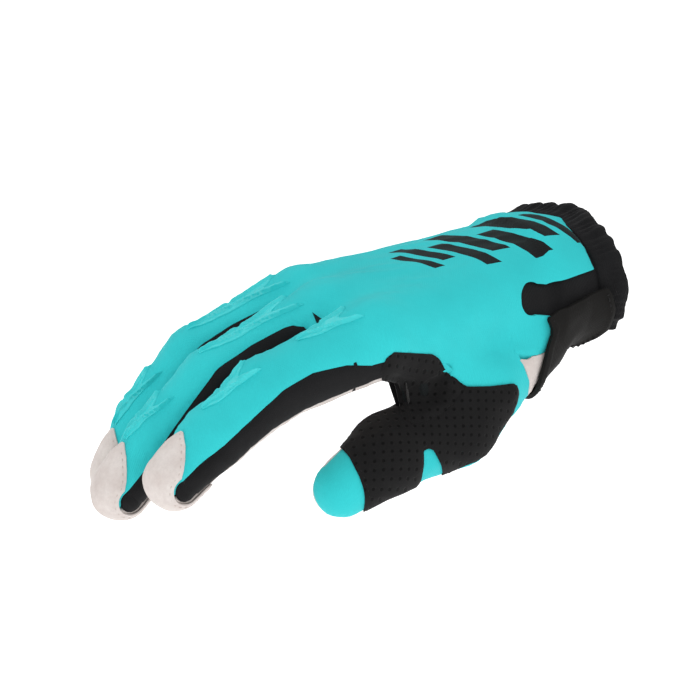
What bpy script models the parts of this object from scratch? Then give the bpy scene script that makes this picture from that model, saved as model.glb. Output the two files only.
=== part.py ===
"""Motocross glove for the right hand, shaped as worn, built panel by panel in metres.

+X points back along the forearm, so the fingers reach towards -X. +Y is the little
finger's side and +Z the back of the hand. The origin is the middle of the wrist.

The hand form is a distance field: rounded cones along the bones, blended smoothly.
Every panel is a grid of rays that leave the bones and stop on that form, so panels
that share a seam share its points, and each stands back from the seam by half a gap.
"""

from math import cos, pi, radians, sin

import bmesh
import bpy
import numpy as np
from mathutils.bvhtree import BVHTree

# Hand sizes
PALM_LENGTH = 0.0950
PALM_SPREAD = 0.0650
FINGER_LENGTH = 0.0995
FINGER_RADIUS = 0.0122
KNUCKLE_RADIUS = 0.0148
THUMB_LENGTH = 0.0985
THUMB_RADIUS = 0.0153
WRIST_WIDTH = 0.0660
WRIST_THICKNESS = 0.0470
WRIST_LENGTH = 0.0180

# Cloth and leather
SHELL = 0.0012
CREVICE = 0.0012
CUFF_WALL = 0.0022
PATCH_WALL = 0.0011
WRAP_WALL = 0.0010
GUARD_HEIGHT = 0.0014
STRAP_WALL = 0.0021
GUSSET_WALL = 0.0010
GAP = 0.0003
LAYER_GAP = 0.00055

# Seams, as angles from the back of a finger, in degrees
BACK_SEAM = 72.0
PALM_SEAM = 138.0
SEAM_STATIONS = (0.95, 1.2, 1.5, 2.1)
SEAM_SHARES = (1.0, 0.8, 0.8, 1.0)

# Stations along a finger: 0 at the wrist end of its hand bone, 1 at the knuckle, 2 and 3
# at its joints and 4 at the middle of its tip. Each finger's own slit is moved to SLIT.
SLIT = 1.36
THUMB_FREE = 1.35
WRIST_STATIONS = (-1.0, -0.5, 0.0, 0.12, 0.24)
HAND_STATIONS = (0.36, 0.45, 0.54, 0.63, 0.72, 0.82, 0.95)
KNUCKLE_STATIONS = (1.04, 1.13, 1.24, SLIT)
FINGER_STATIONS = (1.45, 1.58, 1.72, 1.88, 2.08, 2.3, 2.55, 2.8, 3.05, 3.35, 3.7, 4.0)
TIP_ANGLES = (30.0, 60.0, 90.0)

FINGERS = ("index", "middle", "ring", "little")

# Rows, one for each finger. cuff_reach is how far its panel reaches up the arm, as a
# share of WRIST_LENGTH. wrist_* and knuckle_* are shares of PALM_LENGTH (reach and
# rise) or of PALM_SPREAD (side), *_thick are shares of KNUCKLE_RADIUS. slit is where the
# finger parts from the next, as a station past the knuckle. yaw and the three pitches are degrees, the bones shares of FINGER_LENGTH, joints shares of FINGER_RADIUS.
FINGER_COLUMNS = (
    "cuff_reach", "wrist_reach", "wrist_side", "wrist_rise", "wrist_thick",
    "knuckle_reach", "knuckle_side", "knuckle_rise", "knuckle_thick",
    "slit", "yaw", "pitch_1", "pitch_2", "pitch_3", "bone_1", "bone_2", "bone_3",
    "joint_1", "joint_2", "joint_3",
)
FINGER_TABLE = {
    "index": (0.55, 0.063, -0.231, 0.010, 1.120, 0.937, -0.477, 0.000, 0.973,
              1.36, -1.0, 13.5, 30.0, 37.0, 0.467, 0.261, 0.196, 1.00, 0.934, 0.803),
    "middle": (0.70, 0.042, -0.077, 0.018, 1.290, 0.995, -0.123, 0.016, 1.000,
               1.30, 1.0, 17.5, 38.0, 45.0, 0.492, 0.302, 0.206, 1.00, 0.918, 0.803),
    "ring": (0.40, 0.042, 0.108, 0.014, 1.290, 0.950, 0.231, 0.008, 0.959,
             1.25, 3.0, 17.0, 45.0, 57.0, 0.467, 0.291, 0.206, 0.967, 0.885, 0.770),
    "little": (0.10, 0.063, 0.246, -0.012, 1.120, 0.821, 0.523, -0.084, 0.851,
               1.72, 6.0, 22.0, 44.0, 54.0, 0.372, 0.221, 0.191, 0.852, 0.787, 0.705),
}

# Thumb joints: reach, side and rise as shares of THUMB_LENGTH, thick of THUMB_RADIUS
THUMB_TABLE = (
    (0.162, -0.213, -0.125, 1.000),
    (0.569, -0.335, -0.386, 1.000),
    (0.857, -0.335, -0.442, 0.889),
    (1.030, -0.284, -0.558, 0.693),
)


def place(reach, side, rise):
    """A point from its distances towards the fingers, the little finger and the back."""
    return np.array([-reach, side, rise])


def unit(vectors):
    vectors = np.asarray(vectors, float)
    return vectors / np.linalg.norm(vectors, axis=-1, keepdims=True)


def finger_row(finger):
    return dict(zip(FINGER_COLUMNS, FINGER_TABLE[finger]))


def finger_bones(finger):
    """The joints of one finger from the wrist to the middle of its tip, and their radii."""
    row = finger_row(finger)
    joints = [
        place(row["wrist_reach"] * PALM_LENGTH, row["wrist_side"] * PALM_SPREAD,
              row["wrist_rise"] * PALM_LENGTH),
        place(row["knuckle_reach"] * PALM_LENGTH, row["knuckle_side"] * PALM_SPREAD,
              row["knuckle_rise"] * PALM_LENGTH),
    ]
    radii = [row["wrist_thick"] * KNUCKLE_RADIUS, row["knuckle_thick"] * KNUCKLE_RADIUS]
    yaw = radians(row["yaw"])
    for bone in (1, 2, 3):
        pitch = radians(row[f"pitch_{bone}"])
        along = place(cos(pitch) * cos(yaw), cos(pitch) * sin(yaw), -sin(pitch))
        joints.append(joints[-1] + along * row[f"bone_{bone}"] * FINGER_LENGTH)
        radii.append(row[f"joint_{bone}"] * FINGER_RADIUS)
    return np.array(joints), np.array(radii)


def thumb_bones():
    table = np.array(THUMB_TABLE)
    joints = np.array([place(*row[:3]) for row in table]) * THUMB_LENGTH
    return joints, table[:, 3] * THUMB_RADIUS


BONES = {finger: finger_bones(finger) for finger in FINGERS}
BONES["thumb"] = thumb_bones()


def cone(points, start, end, start_radius, end_radius):
    """Distance to a rounded cone."""
    axis = end - start
    share = np.clip((points - start) @ axis / (axis @ axis), 0, 1)
    away = points - start - share[..., None] * axis
    return np.sqrt((away**2).sum(-1)) - (start_radius + (end_radius - start_radius) * share)


def blend(first, second, width):
    """Smooth union of two distances."""
    share = np.clip(0.5 + 0.5 * (second - first) / width, 0, 1)
    return second + (first - second) * share - width * share * (1 - share)


# How widely the form's lumps melt into each other
JOINT_BLEND = 0.003
PALM_BLEND = 0.011
FINGER_BLEND = 0.0025
PAD_BLEND = 0.009

# Pads and webs: start and end as reach and rise shares of PALM_LENGTH, side of
# PALM_SPREAD, thick of KNUCKLE_RADIUS, in the order reach, side, rise, thick
HEEL_PAD = ((0.17, 0.37, -0.095, 1.01), (0.63, 0.46, -0.095, 0.88))
THUMB_WEB = ((0.46, -0.55, -0.253, 0.61), (0.76, -0.46, -0.105, 0.61))
FINGER_WEB_THICK = 0.54
FINGER_WEB_SHARE = 0.26


def pad_ends(pad):
    ends = [place(r * PALM_LENGTH, s * PALM_SPREAD, z * PALM_LENGTH) for r, s, z, _ in pad]
    return ends[0], ends[1], pad[0][3] * KNUCKLE_RADIUS, pad[1][3] * KNUCKLE_RADIUS


def form(points):
    """Distance from the gloved hand's surface, negative inside."""
    reach = -points[..., 0]
    spread = np.interp(reach, [0.74 * PALM_LENGTH, 1.18 * PALM_LENGTH], [PALM_BLEND, FINGER_BLEND])
    whole = None
    for finger in FINGERS:
        joints, radii = BONES[finger]
        one = cone(points, joints[0], joints[1], radii[0], radii[1])
        for i in (1, 2, 3):
            bone = cone(points, joints[i], joints[i + 1], radii[i], radii[i + 1])
            one = blend(one, bone, JOINT_BLEND)
        whole = one if whole is None else blend(whole, one, spread)
    for near, far in zip(FINGERS[:-1], FINGERS[1:]):
        ends = [BONES[f][0][1] + (BONES[f][0][2] - BONES[f][0][1]) * FINGER_WEB_SHARE
                - place(0, 0, 0.14 * KNUCKLE_RADIUS) for f in (near, far)]
        thick = FINGER_WEB_THICK * KNUCKLE_RADIUS
        whole = blend(whole, cone(points, ends[0], ends[1], thick, thick), 0.005)
    whole = blend(whole, cone(points, *pad_ends(HEEL_PAD)), PAD_BLEND)
    joints, radii = BONES["thumb"]
    thumb = cone(points, joints[0], joints[1], radii[0], radii[1])
    for i in (1, 2):
        thumb = blend(thumb, cone(points, joints[i], joints[i + 1], radii[i], radii[i + 1]),
                      JOINT_BLEND)
    whole = blend(whole, thumb, PAD_BLEND)
    whole = blend(whole, cone(points, *pad_ends(THUMB_WEB)), 0.010)
    oval = np.hypot(points[..., 1] / (WRIST_WIDTH / 2), points[..., 2] / (WRIST_THICKNESS / 2))
    forearm = (oval - 1) * (WRIST_WIDTH + WRIST_THICKNESS) / 4
    forearm = np.maximum(forearm, reach - 0.006)
    forearm = np.maximum(forearm, -WRIST_LENGTH - 0.010 - reach)
    return blend(whole, forearm, 0.008)


def outward(points, field):
    """Unit normals of a distance field."""
    step = 2e-5
    slope = [field(points + step * axis) - field(points - step * axis) for axis in np.eye(3)]
    return unit(np.stack(slope, -1))


def cast(origins, directions, field):
    """Where rays that start inside the field leave it."""
    far = np.zeros(directions.shape[:-1])
    for _ in range(36):
        far -= 0.92 * np.minimum(field(origins + directions * far[..., None]), 0.004)
    return origins + directions * far[..., None]


def finger_frames(finger, stations):
    """Middles of the finger at stations along it, with its along, up and side axes."""
    joints, _ = BONES[finger]
    row = finger_row(finger)
    wrist = place(-WRIST_LENGTH * row["cuff_reach"], 0.9 * joints[0][1], 0.0)
    knots = np.vstack([wrist, joints])
    at = np.interp(stations, (-1, 1, SLIT, 2, 4), (-1, 1, row["slit"], 2, 4))
    middles = np.stack([np.interp(at, [-1, 0, 1, 2, 3, 4], knots[:, k]) for k in range(3)], -1)
    pitches = [0.0, 0.0, row["pitch_1"], row["pitch_2"], row["pitch_3"]]
    pitch = np.radians(np.interp(at, [0.0, 0.8, 1.5, 2.5, 3.5], pitches))
    yaw = radians(row["yaw"])
    along = np.stack([-np.cos(pitch) * cos(yaw), np.cos(pitch) * sin(yaw), -np.sin(pitch)], -1)
    side = np.broadcast_to(np.array([sin(yaw), cos(yaw), 0.0]), along.shape)
    up = np.cross(along, side) * -1.0
    return middles, along, up * np.sign(up[..., 2:3]), side


def finger_radius(finger, stations):
    radii = BONES[finger][1]
    at = np.interp(stations, (-1, 1, SLIT, 2, 4), (-1, 1, finger_row(finger)["slit"], 2, 4))
    return np.interp(at, [0, 1, 2, 3, 4], radii)


def chain(points, joints, radii):
    """Distance to a finger or thumb past its knuckle."""
    one = cone(points, joints[1], joints[2], radii[1], radii[2])
    for i in range(2, len(joints) - 1):
        one = blend(one, cone(points, joints[i], joints[i + 1], radii[i], radii[i + 1]),
                    JOINT_BLEND)
    return one


def slit_reach(finger):
    """How far from the wrist a finger (or the thumb) stands free of the hand."""
    joints, _ = BONES[finger]
    free = THUMB_FREE if finger == "thumb" else finger_row(finger)["slit"]
    start = joints[1] + (joints[2] - joints[1]) * (free - 1.0)
    return -start[0]


def glove(points):
    """The form, with each finger by itself past the slits and a crevice between two that
    touch."""
    names = (*FINGERS, "thumb")
    apart = np.stack([chain(points, *BONES[name]) for name in names])
    order = np.argsort(apart, 0)[:2]
    own, second = np.take_along_axis(apart, order, 0)
    starts = np.array([slit_reach(name) for name in names])[order]
    reach = -points[..., 0]
    share = np.clip((reach - starts[0] + 0.003) / 0.009, 0, 1)
    whole = form(points)
    whole = whole + (own - whole) * share
    crevice = np.minimum((CREVICE - second + own) / 2, reach - starts.mean(0))
    return np.maximum(whole, crevice)


def finger_points(finger, stations, angles):
    """Points round a finger: rays at angles from its back, an angle for each station."""
    middles, _, up, side = finger_frames(finger, stations)
    turn = np.radians(angles)[..., None]
    rays = np.cos(turn) * up + np.sin(turn) * side
    return cast(middles, unit(rays), glove)


def settle(points, field):
    """Slide points along the slope of a field until they lie on its zero level."""
    for _ in range(6):
        points = points - outward(points, field) * field(points)[..., None] * 0.9
    return points


EASE_ROUNDS = 30
EASE_STEP = 0.00012
EASE_SHARE = 0.25
THINNEST = 0.0006

BELLY_SEAM = 180.0 - PALM_SEAM


def half_width(over):
    """Half the width of the back and palm strips, in degrees, over the tip."""
    return BACK_SEAM + (BELLY_SEAM - BACK_SEAM) * over / 180.0


# Ulnar seams of the back and of the palm: stations and angles from the back of the finger
OUTER_SEAM_STATIONS = (-1.0, 0.6, 1.1)
BACK_OUTER_SEAM = (88.0, 84.0, BACK_SEAM)
PALM_OUTER_SEAM = (112.0, 118.0, PALM_SEAM)


def outer_seam(stations, belly):
    """The seam on the little finger's side, as an angle from the back (or the palm)."""
    seams = PALM_OUTER_SEAM if belly else BACK_OUTER_SEAM
    angles = np.interp(stations, OUTER_SEAM_STATIONS, seams)
    return 180.0 - angles if belly else angles


def shared_border(near, far, stations, belly):
    """The line between the strips of two fingers, before the slit parts them."""
    ends = [finger_frames(f, stations) for f in (near, far)]
    across = ends[1][0] - ends[0][0]
    wide = np.linalg.norm(across, axis=-1, keepdims=True)
    thick = [finger_radius(f, stations)[:, None] for f in (near, far)]
    lean = np.clip((stations - 0.8) / 0.4, 0, 1)[:, None]
    middle = ends[0][0] + across * (0.5 + lean * (thick[0] - thick[1]) / wide / 2)
    across = across / wide
    up = unit(ends[0][2] + ends[1][2]) * (-1.0 if belly else 1.0)
    up = unit(up - lean * np.sum(up * across, -1, keepdims=True) * across)
    return cast(middle, up, form)


def strip_rows(finger, shares, belly):
    """The back (or palm) strip of a finger in rows, from the wrist over half its tip.
    The shares run across it, from -1 on the thumb's side to 1."""
    stations = np.array(ALL_STATIONS)
    index = FINGERS.index(finger)
    seam = BELLY_SEAM if belly else BACK_SEAM * np.interp(stations, SEAM_STATIONS, SEAM_SHARES)
    half = np.ones((len(stations), 2)) * np.reshape(seam, (-1, 1))
    if finger == "little":
        half[:, 1] = outer_seam(stations, belly)
    shares = np.array(shares)
    angles = np.where(shares < 0, half[:, :1], half[:, 1:]) * shares
    angles = 180.0 - angles if belly else angles
    count = len(shares)
    spread = np.repeat(stations[:, None], count, 1)
    rows = finger_points(finger, spread, angles)
    body = int(np.sum(stations <= SLIT + 1e-6))
    middles, _, up, _ = finger_frames(finger, stations[:body])
    up = up * (-1.0 if belly else 1.0)
    top = cast(middles, up, form)
    for side, beside in ((-1, index - 1), (1, index + 1)):
        if not 0 <= beside < 4:
            continue
        pair = (FINGERS[min(index, beside)], FINGERS[max(index, beside)])
        border = shared_border(*pair, stations[:body], belly)
        for i in np.flatnonzero(shares * side > 0):
            guess = top + (border - top) * abs(shares[i])
            if abs(shares[i]) < 1:
                guess = settle(guess + up * 0.002, form)
            rows[:body, i] = guess
    if belly and 0 < index < 3:
        rows[:body, 1:-1] = settle(rows[:body, 1:-1], form)
    tip = tip_rows(finger, np.array(TIP_ANGLES), shares, belly)
    return np.concatenate([rows, tip])


def tip_rows(finger, overs, shares, belly):
    """Rows of the strips where they turn round the finger's tip."""
    overs = (180.0 - overs if belly else overs)[:, None]
    middle, along, up, side = finger_frames(finger, np.array([4.0]))
    turn = np.radians(shares * half_width(overs))[..., None]
    over = np.radians(overs)[..., None]
    rays = np.cos(turn) * (np.cos(over) * up[0] + np.sin(over) * along[0]) + np.sin(turn) * side[0]
    return cast(middle[0], unit(rays), glove)


THUMB_BACK = unit(place(0.25, -0.82, 0.36))
THUMB_SEAM = 90.0
THUMB_LOOP_MIDDLE = 1.05
THUMB_LOOP_REACH = 0.55
THUMB_LOOP_TOP = -60.0


def thumb_frames(stations):
    """Middles of the thumb at stations along it, with its along, back and side axes."""
    joints, _ = BONES["thumb"]
    at = np.asarray(stations, float)
    middles = np.stack([np.interp(at, [0, 1, 2, 3], joints[:, k]) for k in range(3)], -1)
    runs = unit(np.diff(joints, axis=0))
    along = unit(np.stack([np.interp(at, [0.5, 1.5, 2.5], runs[:, k]) for k in range(3)], -1))
    up = unit(THUMB_BACK - (along @ THUMB_BACK)[..., None] * along)
    return middles, along, up, np.cross(up, along)


def thumb_points(stations, angles, overs=0.0):
    """Points round the thumb; angles grow from its back, away from the index finger."""
    middles, along, up, side = thumb_frames(stations)
    turn = np.radians(angles)[..., None]
    over = np.radians(np.asarray(overs, float))[..., None]
    rays = np.cos(turn) * (np.cos(over) * up + np.sin(over) * along) + np.sin(turn) * side
    return cast(middles, unit(rays), glove)


def loop_stations(angles):
    """Where the seam round the foot of the thumb lies: it reaches furthest at the web."""
    return THUMB_LOOP_MIDDLE + THUMB_LOOP_REACH * np.cos(np.radians(angles - THUMB_LOOP_TOP))


def thumb_loop(angles):
    return thumb_points(loop_stations(angles), angles)


class Sheet:
    """An open surface gathered from grids of points, welded where grids share a point."""

    def __init__(self):
        self.points = []
        self.faces = []
        self.keys = {}

    def point(self, position):
        key = tuple(np.round(np.asarray(position) * 1e5).astype(int))
        if key not in self.keys:
            self.keys[key] = len(self.points)
            self.points.append(np.asarray(position, float))
        return self.keys[key]

    def face(self, corners):
        """A triangle, or a quad split along its shorter diagonal."""
        ring = [self.point(corner) for corner in corners]
        ring = [v for i, v in enumerate(ring) if v != ring[i - 1]]
        if len(ring) == 4:
            first, second = [np.linalg.norm(self.points[ring[i]] - self.points[ring[i + 2]])
                             for i in (0, 1)]
            start = 0 if first <= second else 1
            ring = ring[start:] + ring[:start]
            self.faces += [ring[:3], [ring[0], *ring[2:]]]
        elif len(set(ring)) == len(ring) == 3:
            self.faces.append(ring)

    def grid(self, rows, flip=False):
        """Faces between rows of points; rows run forwards and each row sideways."""
        for near, far in zip(rows[:-1], rows[1:]):
            for i in range(len(near) - 1):
                corners = [near[i], near[i + 1], far[i + 1], far[i]]
                self.face(corners[::-1] if flip else corners)

    def fan(self, middle, rim, flip=False):
        for first, second in zip(rim[:-1], rim[1:]):
            corners = [middle, first, second]
            self.face(corners[::-1] if flip else corners)


def rim_edges(faces):
    """The edges on the border of a sheet, in the order in which its faces run, and the
    third corner of the triangle on each."""
    edges = {(f[i - 1], f[i]): f[(i + 1) % 3] for f in faces for i in range(3)}
    return [(a, b, c) for (a, b), c in edges.items() if (b, a) not in edges]


def stand_back(points, faces, distance):
    """Move the border of a sheet inwards, so that it clears the next panel."""
    inward = np.zeros_like(points)
    for a, b, c in rim_edges(faces):
        along = unit(points[b] - points[a])
        step = points[c] - points[a]
        step = unit(step - (step @ along) * along)
        inward[a] += step
        inward[b] += step
    rim = np.linalg.norm(inward, axis=1) > 1e-9
    turned = unit(inward[rim])
    stretch = np.clip(2.0 / np.linalg.norm(inward[rim], axis=1), 1.0, 1.6)
    points[rim] += turned * (distance * stretch)[:, None]
    return points


def smoothed(normals, faces):
    """Normals averaged with their neighbours', so that a lifted sheet bridges a crease."""
    for _ in range(2):
        total = normals.copy()
        for f in faces:
            np.add.at(total, list(f), normals[list(f)].sum(0) / 3)
        normals = unit(total)
    return normals


def shell(name, sheet, wall, material, lift=0.0, layer=0):
    """A closed solid on the form, as its outer and inner points and its triangles. Pieces
    on layer 0 meet at seams, those above it lie on them and those below it lie under."""
    points = np.array(sheet.points)
    faces = sheet.faces
    normals = outward(points, glove)
    towards = sum(np.dot(np.cross(points[f[1]] - points[f[0]], points[f[2]] - points[f[0]]),
                         normals[f[0]]) for f in faces)
    if towards < 0:
        faces = [f[::-1] for f in faces]
    if layer:
        normals = smoothed(normals, faces)
    moved = stand_back(points.copy(), faces, GAP / 2)
    inward = (moved - points) / GAP
    outer = moved + normals * np.reshape(lift, (-1, 1))
    count = len(points)
    solid = [list(f) for f in faces]
    solid += [[v + count for v in reversed(f)] for f in faces]
    for a, b, _ in rim_edges(faces):
        solid += [[b, a, a + count], [b, a + count, b + count]]
    return {
        "name": name, "material": material, "layer": layer, "normals": normals,
        "inward": inward, "outer": outer, "inner": outer - normals * wall, "solid": solid,
    }


def touching(first, second):
    """The points of two solids' triangles that cross, as two sets of numbers."""
    hits = first["tree"].overlap(second["tree"])
    if first is second:
        solid = first["solid"]
        hits = [(x, y) for x, y in hits if x < y and not set(solid[x]) & set(solid[y])]
    ones = {v for x, _ in hits for v in first["solid"][x]}
    return ones, {v for _, y in hits for v in second["solid"][y]}


def give_way(piece, hit, beside):
    """Move the points of a solid that cross another: away from the layers below, or, on
    the same layer, by a thinner wall and a seam drawn back."""
    count = len(piece["outer"])
    hit = np.array(sorted(hit), int)
    if abs(piece["layer"]) > abs(beside["layer"]):
        ring = np.unique(hit % count)
        step = piece["normals"][ring] * EASE_STEP * np.sign(piece["layer"])
        piece["outer"][ring] += step
        piece["inner"][ring] += step
    elif abs(piece["layer"]) == abs(beside["layer"]):
        low = hit[hit >= count] - count
        wall = piece["outer"][low] - piece["inner"][low]
        low = low[np.linalg.norm(wall, axis=1) > THINNEST]
        piece["inner"][low] += (piece["outer"][low] - piece["inner"][low]) * EASE_SHARE
        ring = np.unique(hit % count) if piece is not beside else []
        piece["outer"][ring] += piece["inward"][ring] * EASE_STEP
        piece["inner"][ring] += piece["inward"][ring] * EASE_STEP


def ease(pieces):
    """Clear the places where faceted solids that follow a bend would touch."""
    for _ in range(EASE_ROUNDS):
        for piece in pieces:
            corners = np.vstack([piece["outer"], piece["inner"]])
            piece["tree"] = BVHTree.FromPolygons(corners.tolist(), piece["solid"])
        moves = []
        for i, first in enumerate(pieces):
            for second in pieces[i:]:
                ones, others = touching(first, second)
                if ones:
                    moves += [(first, ones, second), (second, others, first)]
        if not moves:
            return
        for piece, hit, beside in moves:
            give_way(piece, hit, beside)


def build(piece):
    mesh = bpy.data.meshes.new(piece["name"])
    corners = np.vstack([piece["outer"], piece["inner"]])
    mesh.from_pydata(corners.tolist(), [], piece["solid"])
    mesh.validate()
    body = bpy.data.objects.new(piece["name"], mesh)
    body.data.materials.append(piece["material"])
    COLLECTION.objects.link(body)
    return body


def start_scene():
    for old in list(bpy.data.objects):
        bpy.data.objects.remove(old, do_unlink=True)
    collection = bpy.data.collections.new("motocross_glove")
    bpy.context.scene.collection.children.link(collection)
    cutters = bpy.data.collections.new("cutters")
    bpy.context.scene.collection.children.link(cutters)
    return collection, cutters


def finish(name, colour, roughness):
    material = bpy.data.materials.new(name)
    material.use_nodes = True
    shader = material.node_tree.nodes["Principled BSDF"]
    shader.inputs["Base Color"].default_value = (*colour, 1.0)
    shader.inputs["Roughness"].default_value = roughness
    material.diffuse_color = (*colour, 1.0)
    return material


COLLECTION, CUTTERS = start_scene()
TEAL = finish("teal_stretch_cloth", (0.045, 0.60, 0.64), 0.75)
TEAL_RUBBER = finish("teal_moulding", (0.045, 0.62, 0.66), 0.5)
BLACK = finish("black_neoprene", (0.017, 0.017, 0.018), 0.8)
STRAP_BLACK = finish("black_strap", (0.022, 0.021, 0.02), 0.6)
SUEDE = finish("beige_suede", (0.62, 0.53, 0.49), 0.9)

ALL_STATIONS = WRIST_STATIONS + HAND_STATIONS + KNUCKLE_STATIONS + FINGER_STATIONS
BACK_SHARES = (-1.0, -0.5, 0.0, 0.5, 1.0)
PALM_SHARES = (-1.0, -0.33, 0.33, 1.0)
SIDE_COLUMNS = 3
SIDE_MIDDLE = (BACK_SEAM + PALM_SEAM) / 2

# The seam between back and palm below the thumb: stations, and angles from the index's back
THENAR_STATIONS = (-1.0, 0.36)
THENAR_ANGLES = (-118.0, -128.0)
OUTER_STRIP_START = 0.95


def radial_border(stations, belly):
    """The thumb side's seam of the back and of the palm, by stations of the index: first
    below the thumb, then round the loop at its foot, then up to the index's strip."""
    first, last = HAND_STATIONS[0], HAND_STATIONS[-3]
    below = finger_points("index", stations, np.interp(stations, THENAR_STATIONS, THENAR_ANGLES))
    share = np.clip((stations - first) / (last - first), 0, 1)
    loop = thumb_loop(THUMB_LOOP_TOP + (1.0 - share) * (-180.0 if belly else 180.0))
    line = np.where((stations < first - 1e-6)[:, None], below, loop)
    above = finger_points("index", np.array([OUTER_STRIP_START]), np.array([-SIDE_MIDDLE]))[0]
    share = np.clip((stations - last) / (OUTER_STRIP_START - last), 0, 1)[:, None]
    web = loop + (above - loop) * share
    web = np.where(share < 0.99, settle(web + place(0.004, 0, -0.001), form), above)
    return np.where((stations > last + 1e-6)[:, None], web, line)


def radial_rows(edge, belly):
    """The rows that carry the back or palm down to the thumb side's seam."""
    stations = np.array([s for s in ALL_STATIONS if s <= OUTER_STRIP_START + 1e-6])
    edge = edge[:len(stations)]
    border = radial_border(stations, belly)
    share = np.arange(SIDE_COLUMNS + 1)[:, None] / SIDE_COLUMNS
    rows = border[:, None] + (edge - border)[:, None] * share
    push = outward(rows[:, 1:-1], form) * 0.003
    rows[:, 1:-1] = settle(rows[:, 1:-1] + push, form)
    return rows


def clear_thumb(rows):
    """Lay the palm's rows at the foot of the thumb between its loop and the next strip."""
    stations = np.array([s for s in ALL_STATIONS if s < OUTER_STRIP_START - 1e-6])
    border = radial_border(stations, True)
    columns = rows.shape[1] - 1
    for i in range(columns):
        share = (SIDE_COLUMNS + i) / (SIDE_COLUMNS + columns)
        line = border + (rows[:len(stations), -1] - border) * share
        rows[:len(stations), i] = settle(line - place(0, 0, 0.003), form)
    return rows


def strip_sheet(belly):
    """The back or the palm in one sheet: the hand and its four finger strips."""
    sheet = Sheet()
    shares = PALM_SHARES if belly else BACK_SHARES
    for finger in FINGERS:
        rows = strip_rows(finger, shares, belly)
        if belly and finger == "index":
            rows = clear_thumb(rows)
        sheet.grid(rows, flip=belly)
        if finger == "index":
            sheet.grid(radial_rows(rows[:, 0], belly), flip=belly)
    return sheet


def side_rows(finger, side, first, sheet):
    """One finger's half of a side panel; its round end at the tip goes on the sheet."""
    stations = np.array([s for s in ALL_STATIONS if s >= first - 1e-6])
    start = len(ALL_STATIONS) - len(stations)
    stop = len(ALL_STATIONS)
    back = strip_rows(finger, (side,), False)
    palm = strip_rows(finger, (side,), True)
    middle = np.full(len(stations), SIDE_MIDDLE)
    if finger == "little" and side > 0:
        middle = (outer_seam(stations, False) + 180.0 - outer_seam(stations, True)) / 2
    centre = finger_points(finger, stations, side * middle)
    rows = np.stack([back[start:stop, 0], centre, palm[start:stop, 0]], 1)
    rim = np.concatenate([back[stop - 1:, 0], palm[stop - 1:, 0][-2::-1]])
    sheet.fan(centre[-1], rim, flip=side < 0)
    return rows


def between_sheet(near, far):
    """The black side panel that runs down one finger, through the web and up the next."""
    sheet = Sheet()
    near_rows = side_rows(near, 1.0, FINGER_STATIONS[0], sheet)
    far_rows = side_rows(far, -1.0, FINGER_STATIONS[0], sheet)
    slit = np.array([SLIT])
    back = shared_border(near, far, slit, False)[0]
    palm = shared_border(near, far, slit, True)[0]
    middle = (back + palm) / 2
    sheet.grid(np.concatenate([near_rows[::-1], [[back, middle, palm]], far_rows]))
    return sheet


def outer_sheet(finger, side, first):
    """The side panel on the outer side of the index or the little finger."""
    sheet = Sheet()
    sheet.grid(side_rows(finger, side, first, sheet), flip=side > 0)
    return sheet


THUMB_STATIONS = (1.75, 2.05, 2.35, 2.65, 3.0)


def thumb_sheet(belly):
    """The thumb's back or its palm side, from the loop at its foot to its tip."""
    sheet = Sheet()
    count = len(HAND_STATIONS) - 2
    loop = THUMB_LOOP_TOP + np.linspace(0.0, -180.0 if belly else 180.0, count)
    angles = np.linspace(-90.0, -270.0 if belly else 90.0, count)
    rows = []
    for share in (0.0, 0.33, 0.67):
        stations = loop_stations(loop) * (1 - share) + THUMB_STATIONS[0] * share
        rows.append(thumb_points(stations, loop * (1 - share) + angles * share))
    rows += [thumb_points(np.full(count, s), angles) for s in THUMB_STATIONS]
    tilt = np.linspace(-90.0, 90.0, count)
    for over in TIP_ANGLES:
        over = 180.0 - over if belly else over
        rows.append(thumb_points(np.full(count, 3.0), tilt, np.full(count, over)))
    sheet.grid(np.array(rows))
    return sheet


# Fingertip wraps, as stations or angles over the tip and half-widths in degrees
WRAP_STATIONS = (3.35, 3.52, 3.7, 3.85, 4.0)
WRAP_HALF_WIDTHS = (8.0, 30.0, 45.0, 57.0, 66.0)
WRAP_OVERS = (22.5, 45.0, 67.5, 90.0, 112.5, 135.0, 157.5)
WRAP_TIP_HALF_WIDTHS = (64.0, 61.0, 58.0, 55.0, 52.0, 49.0, 45.0)
WRAP_PALM_STATIONS = (4.0, 3.8, 3.6)
WRAP_PALM_HALF_WIDTH = 42.0
WRAP_SHARES = np.linspace(-1.0, 1.0, 6)


def wrap_sheet(finger):
    """The suede tip of a finger: a tongue on its back that turns round the tip."""
    rows = [finger_points(finger, np.full(6, station), WRAP_SHARES * half)
            for station, half in zip(WRAP_STATIONS, WRAP_HALF_WIDTHS)]
    middle, along, up, side = finger_frames(finger, np.array([4.0]))
    for over, half in zip(np.radians(WRAP_OVERS), WRAP_TIP_HALF_WIDTHS):
        turn = np.radians(WRAP_SHARES * half)[:, None]
        forward = cos(over) * up[0] + sin(over) * along[0]
        rows.append(cast(middle[0], unit(np.cos(turn) * forward + np.sin(turn) * side[0]), glove))
    for station in WRAP_PALM_STATIONS:
        angles = 180.0 - WRAP_SHARES * WRAP_PALM_HALF_WIDTH
        rows.append(finger_points(finger, np.full(6, station), angles))
    sheet = Sheet()
    sheet.grid(rows)
    return sheet


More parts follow.
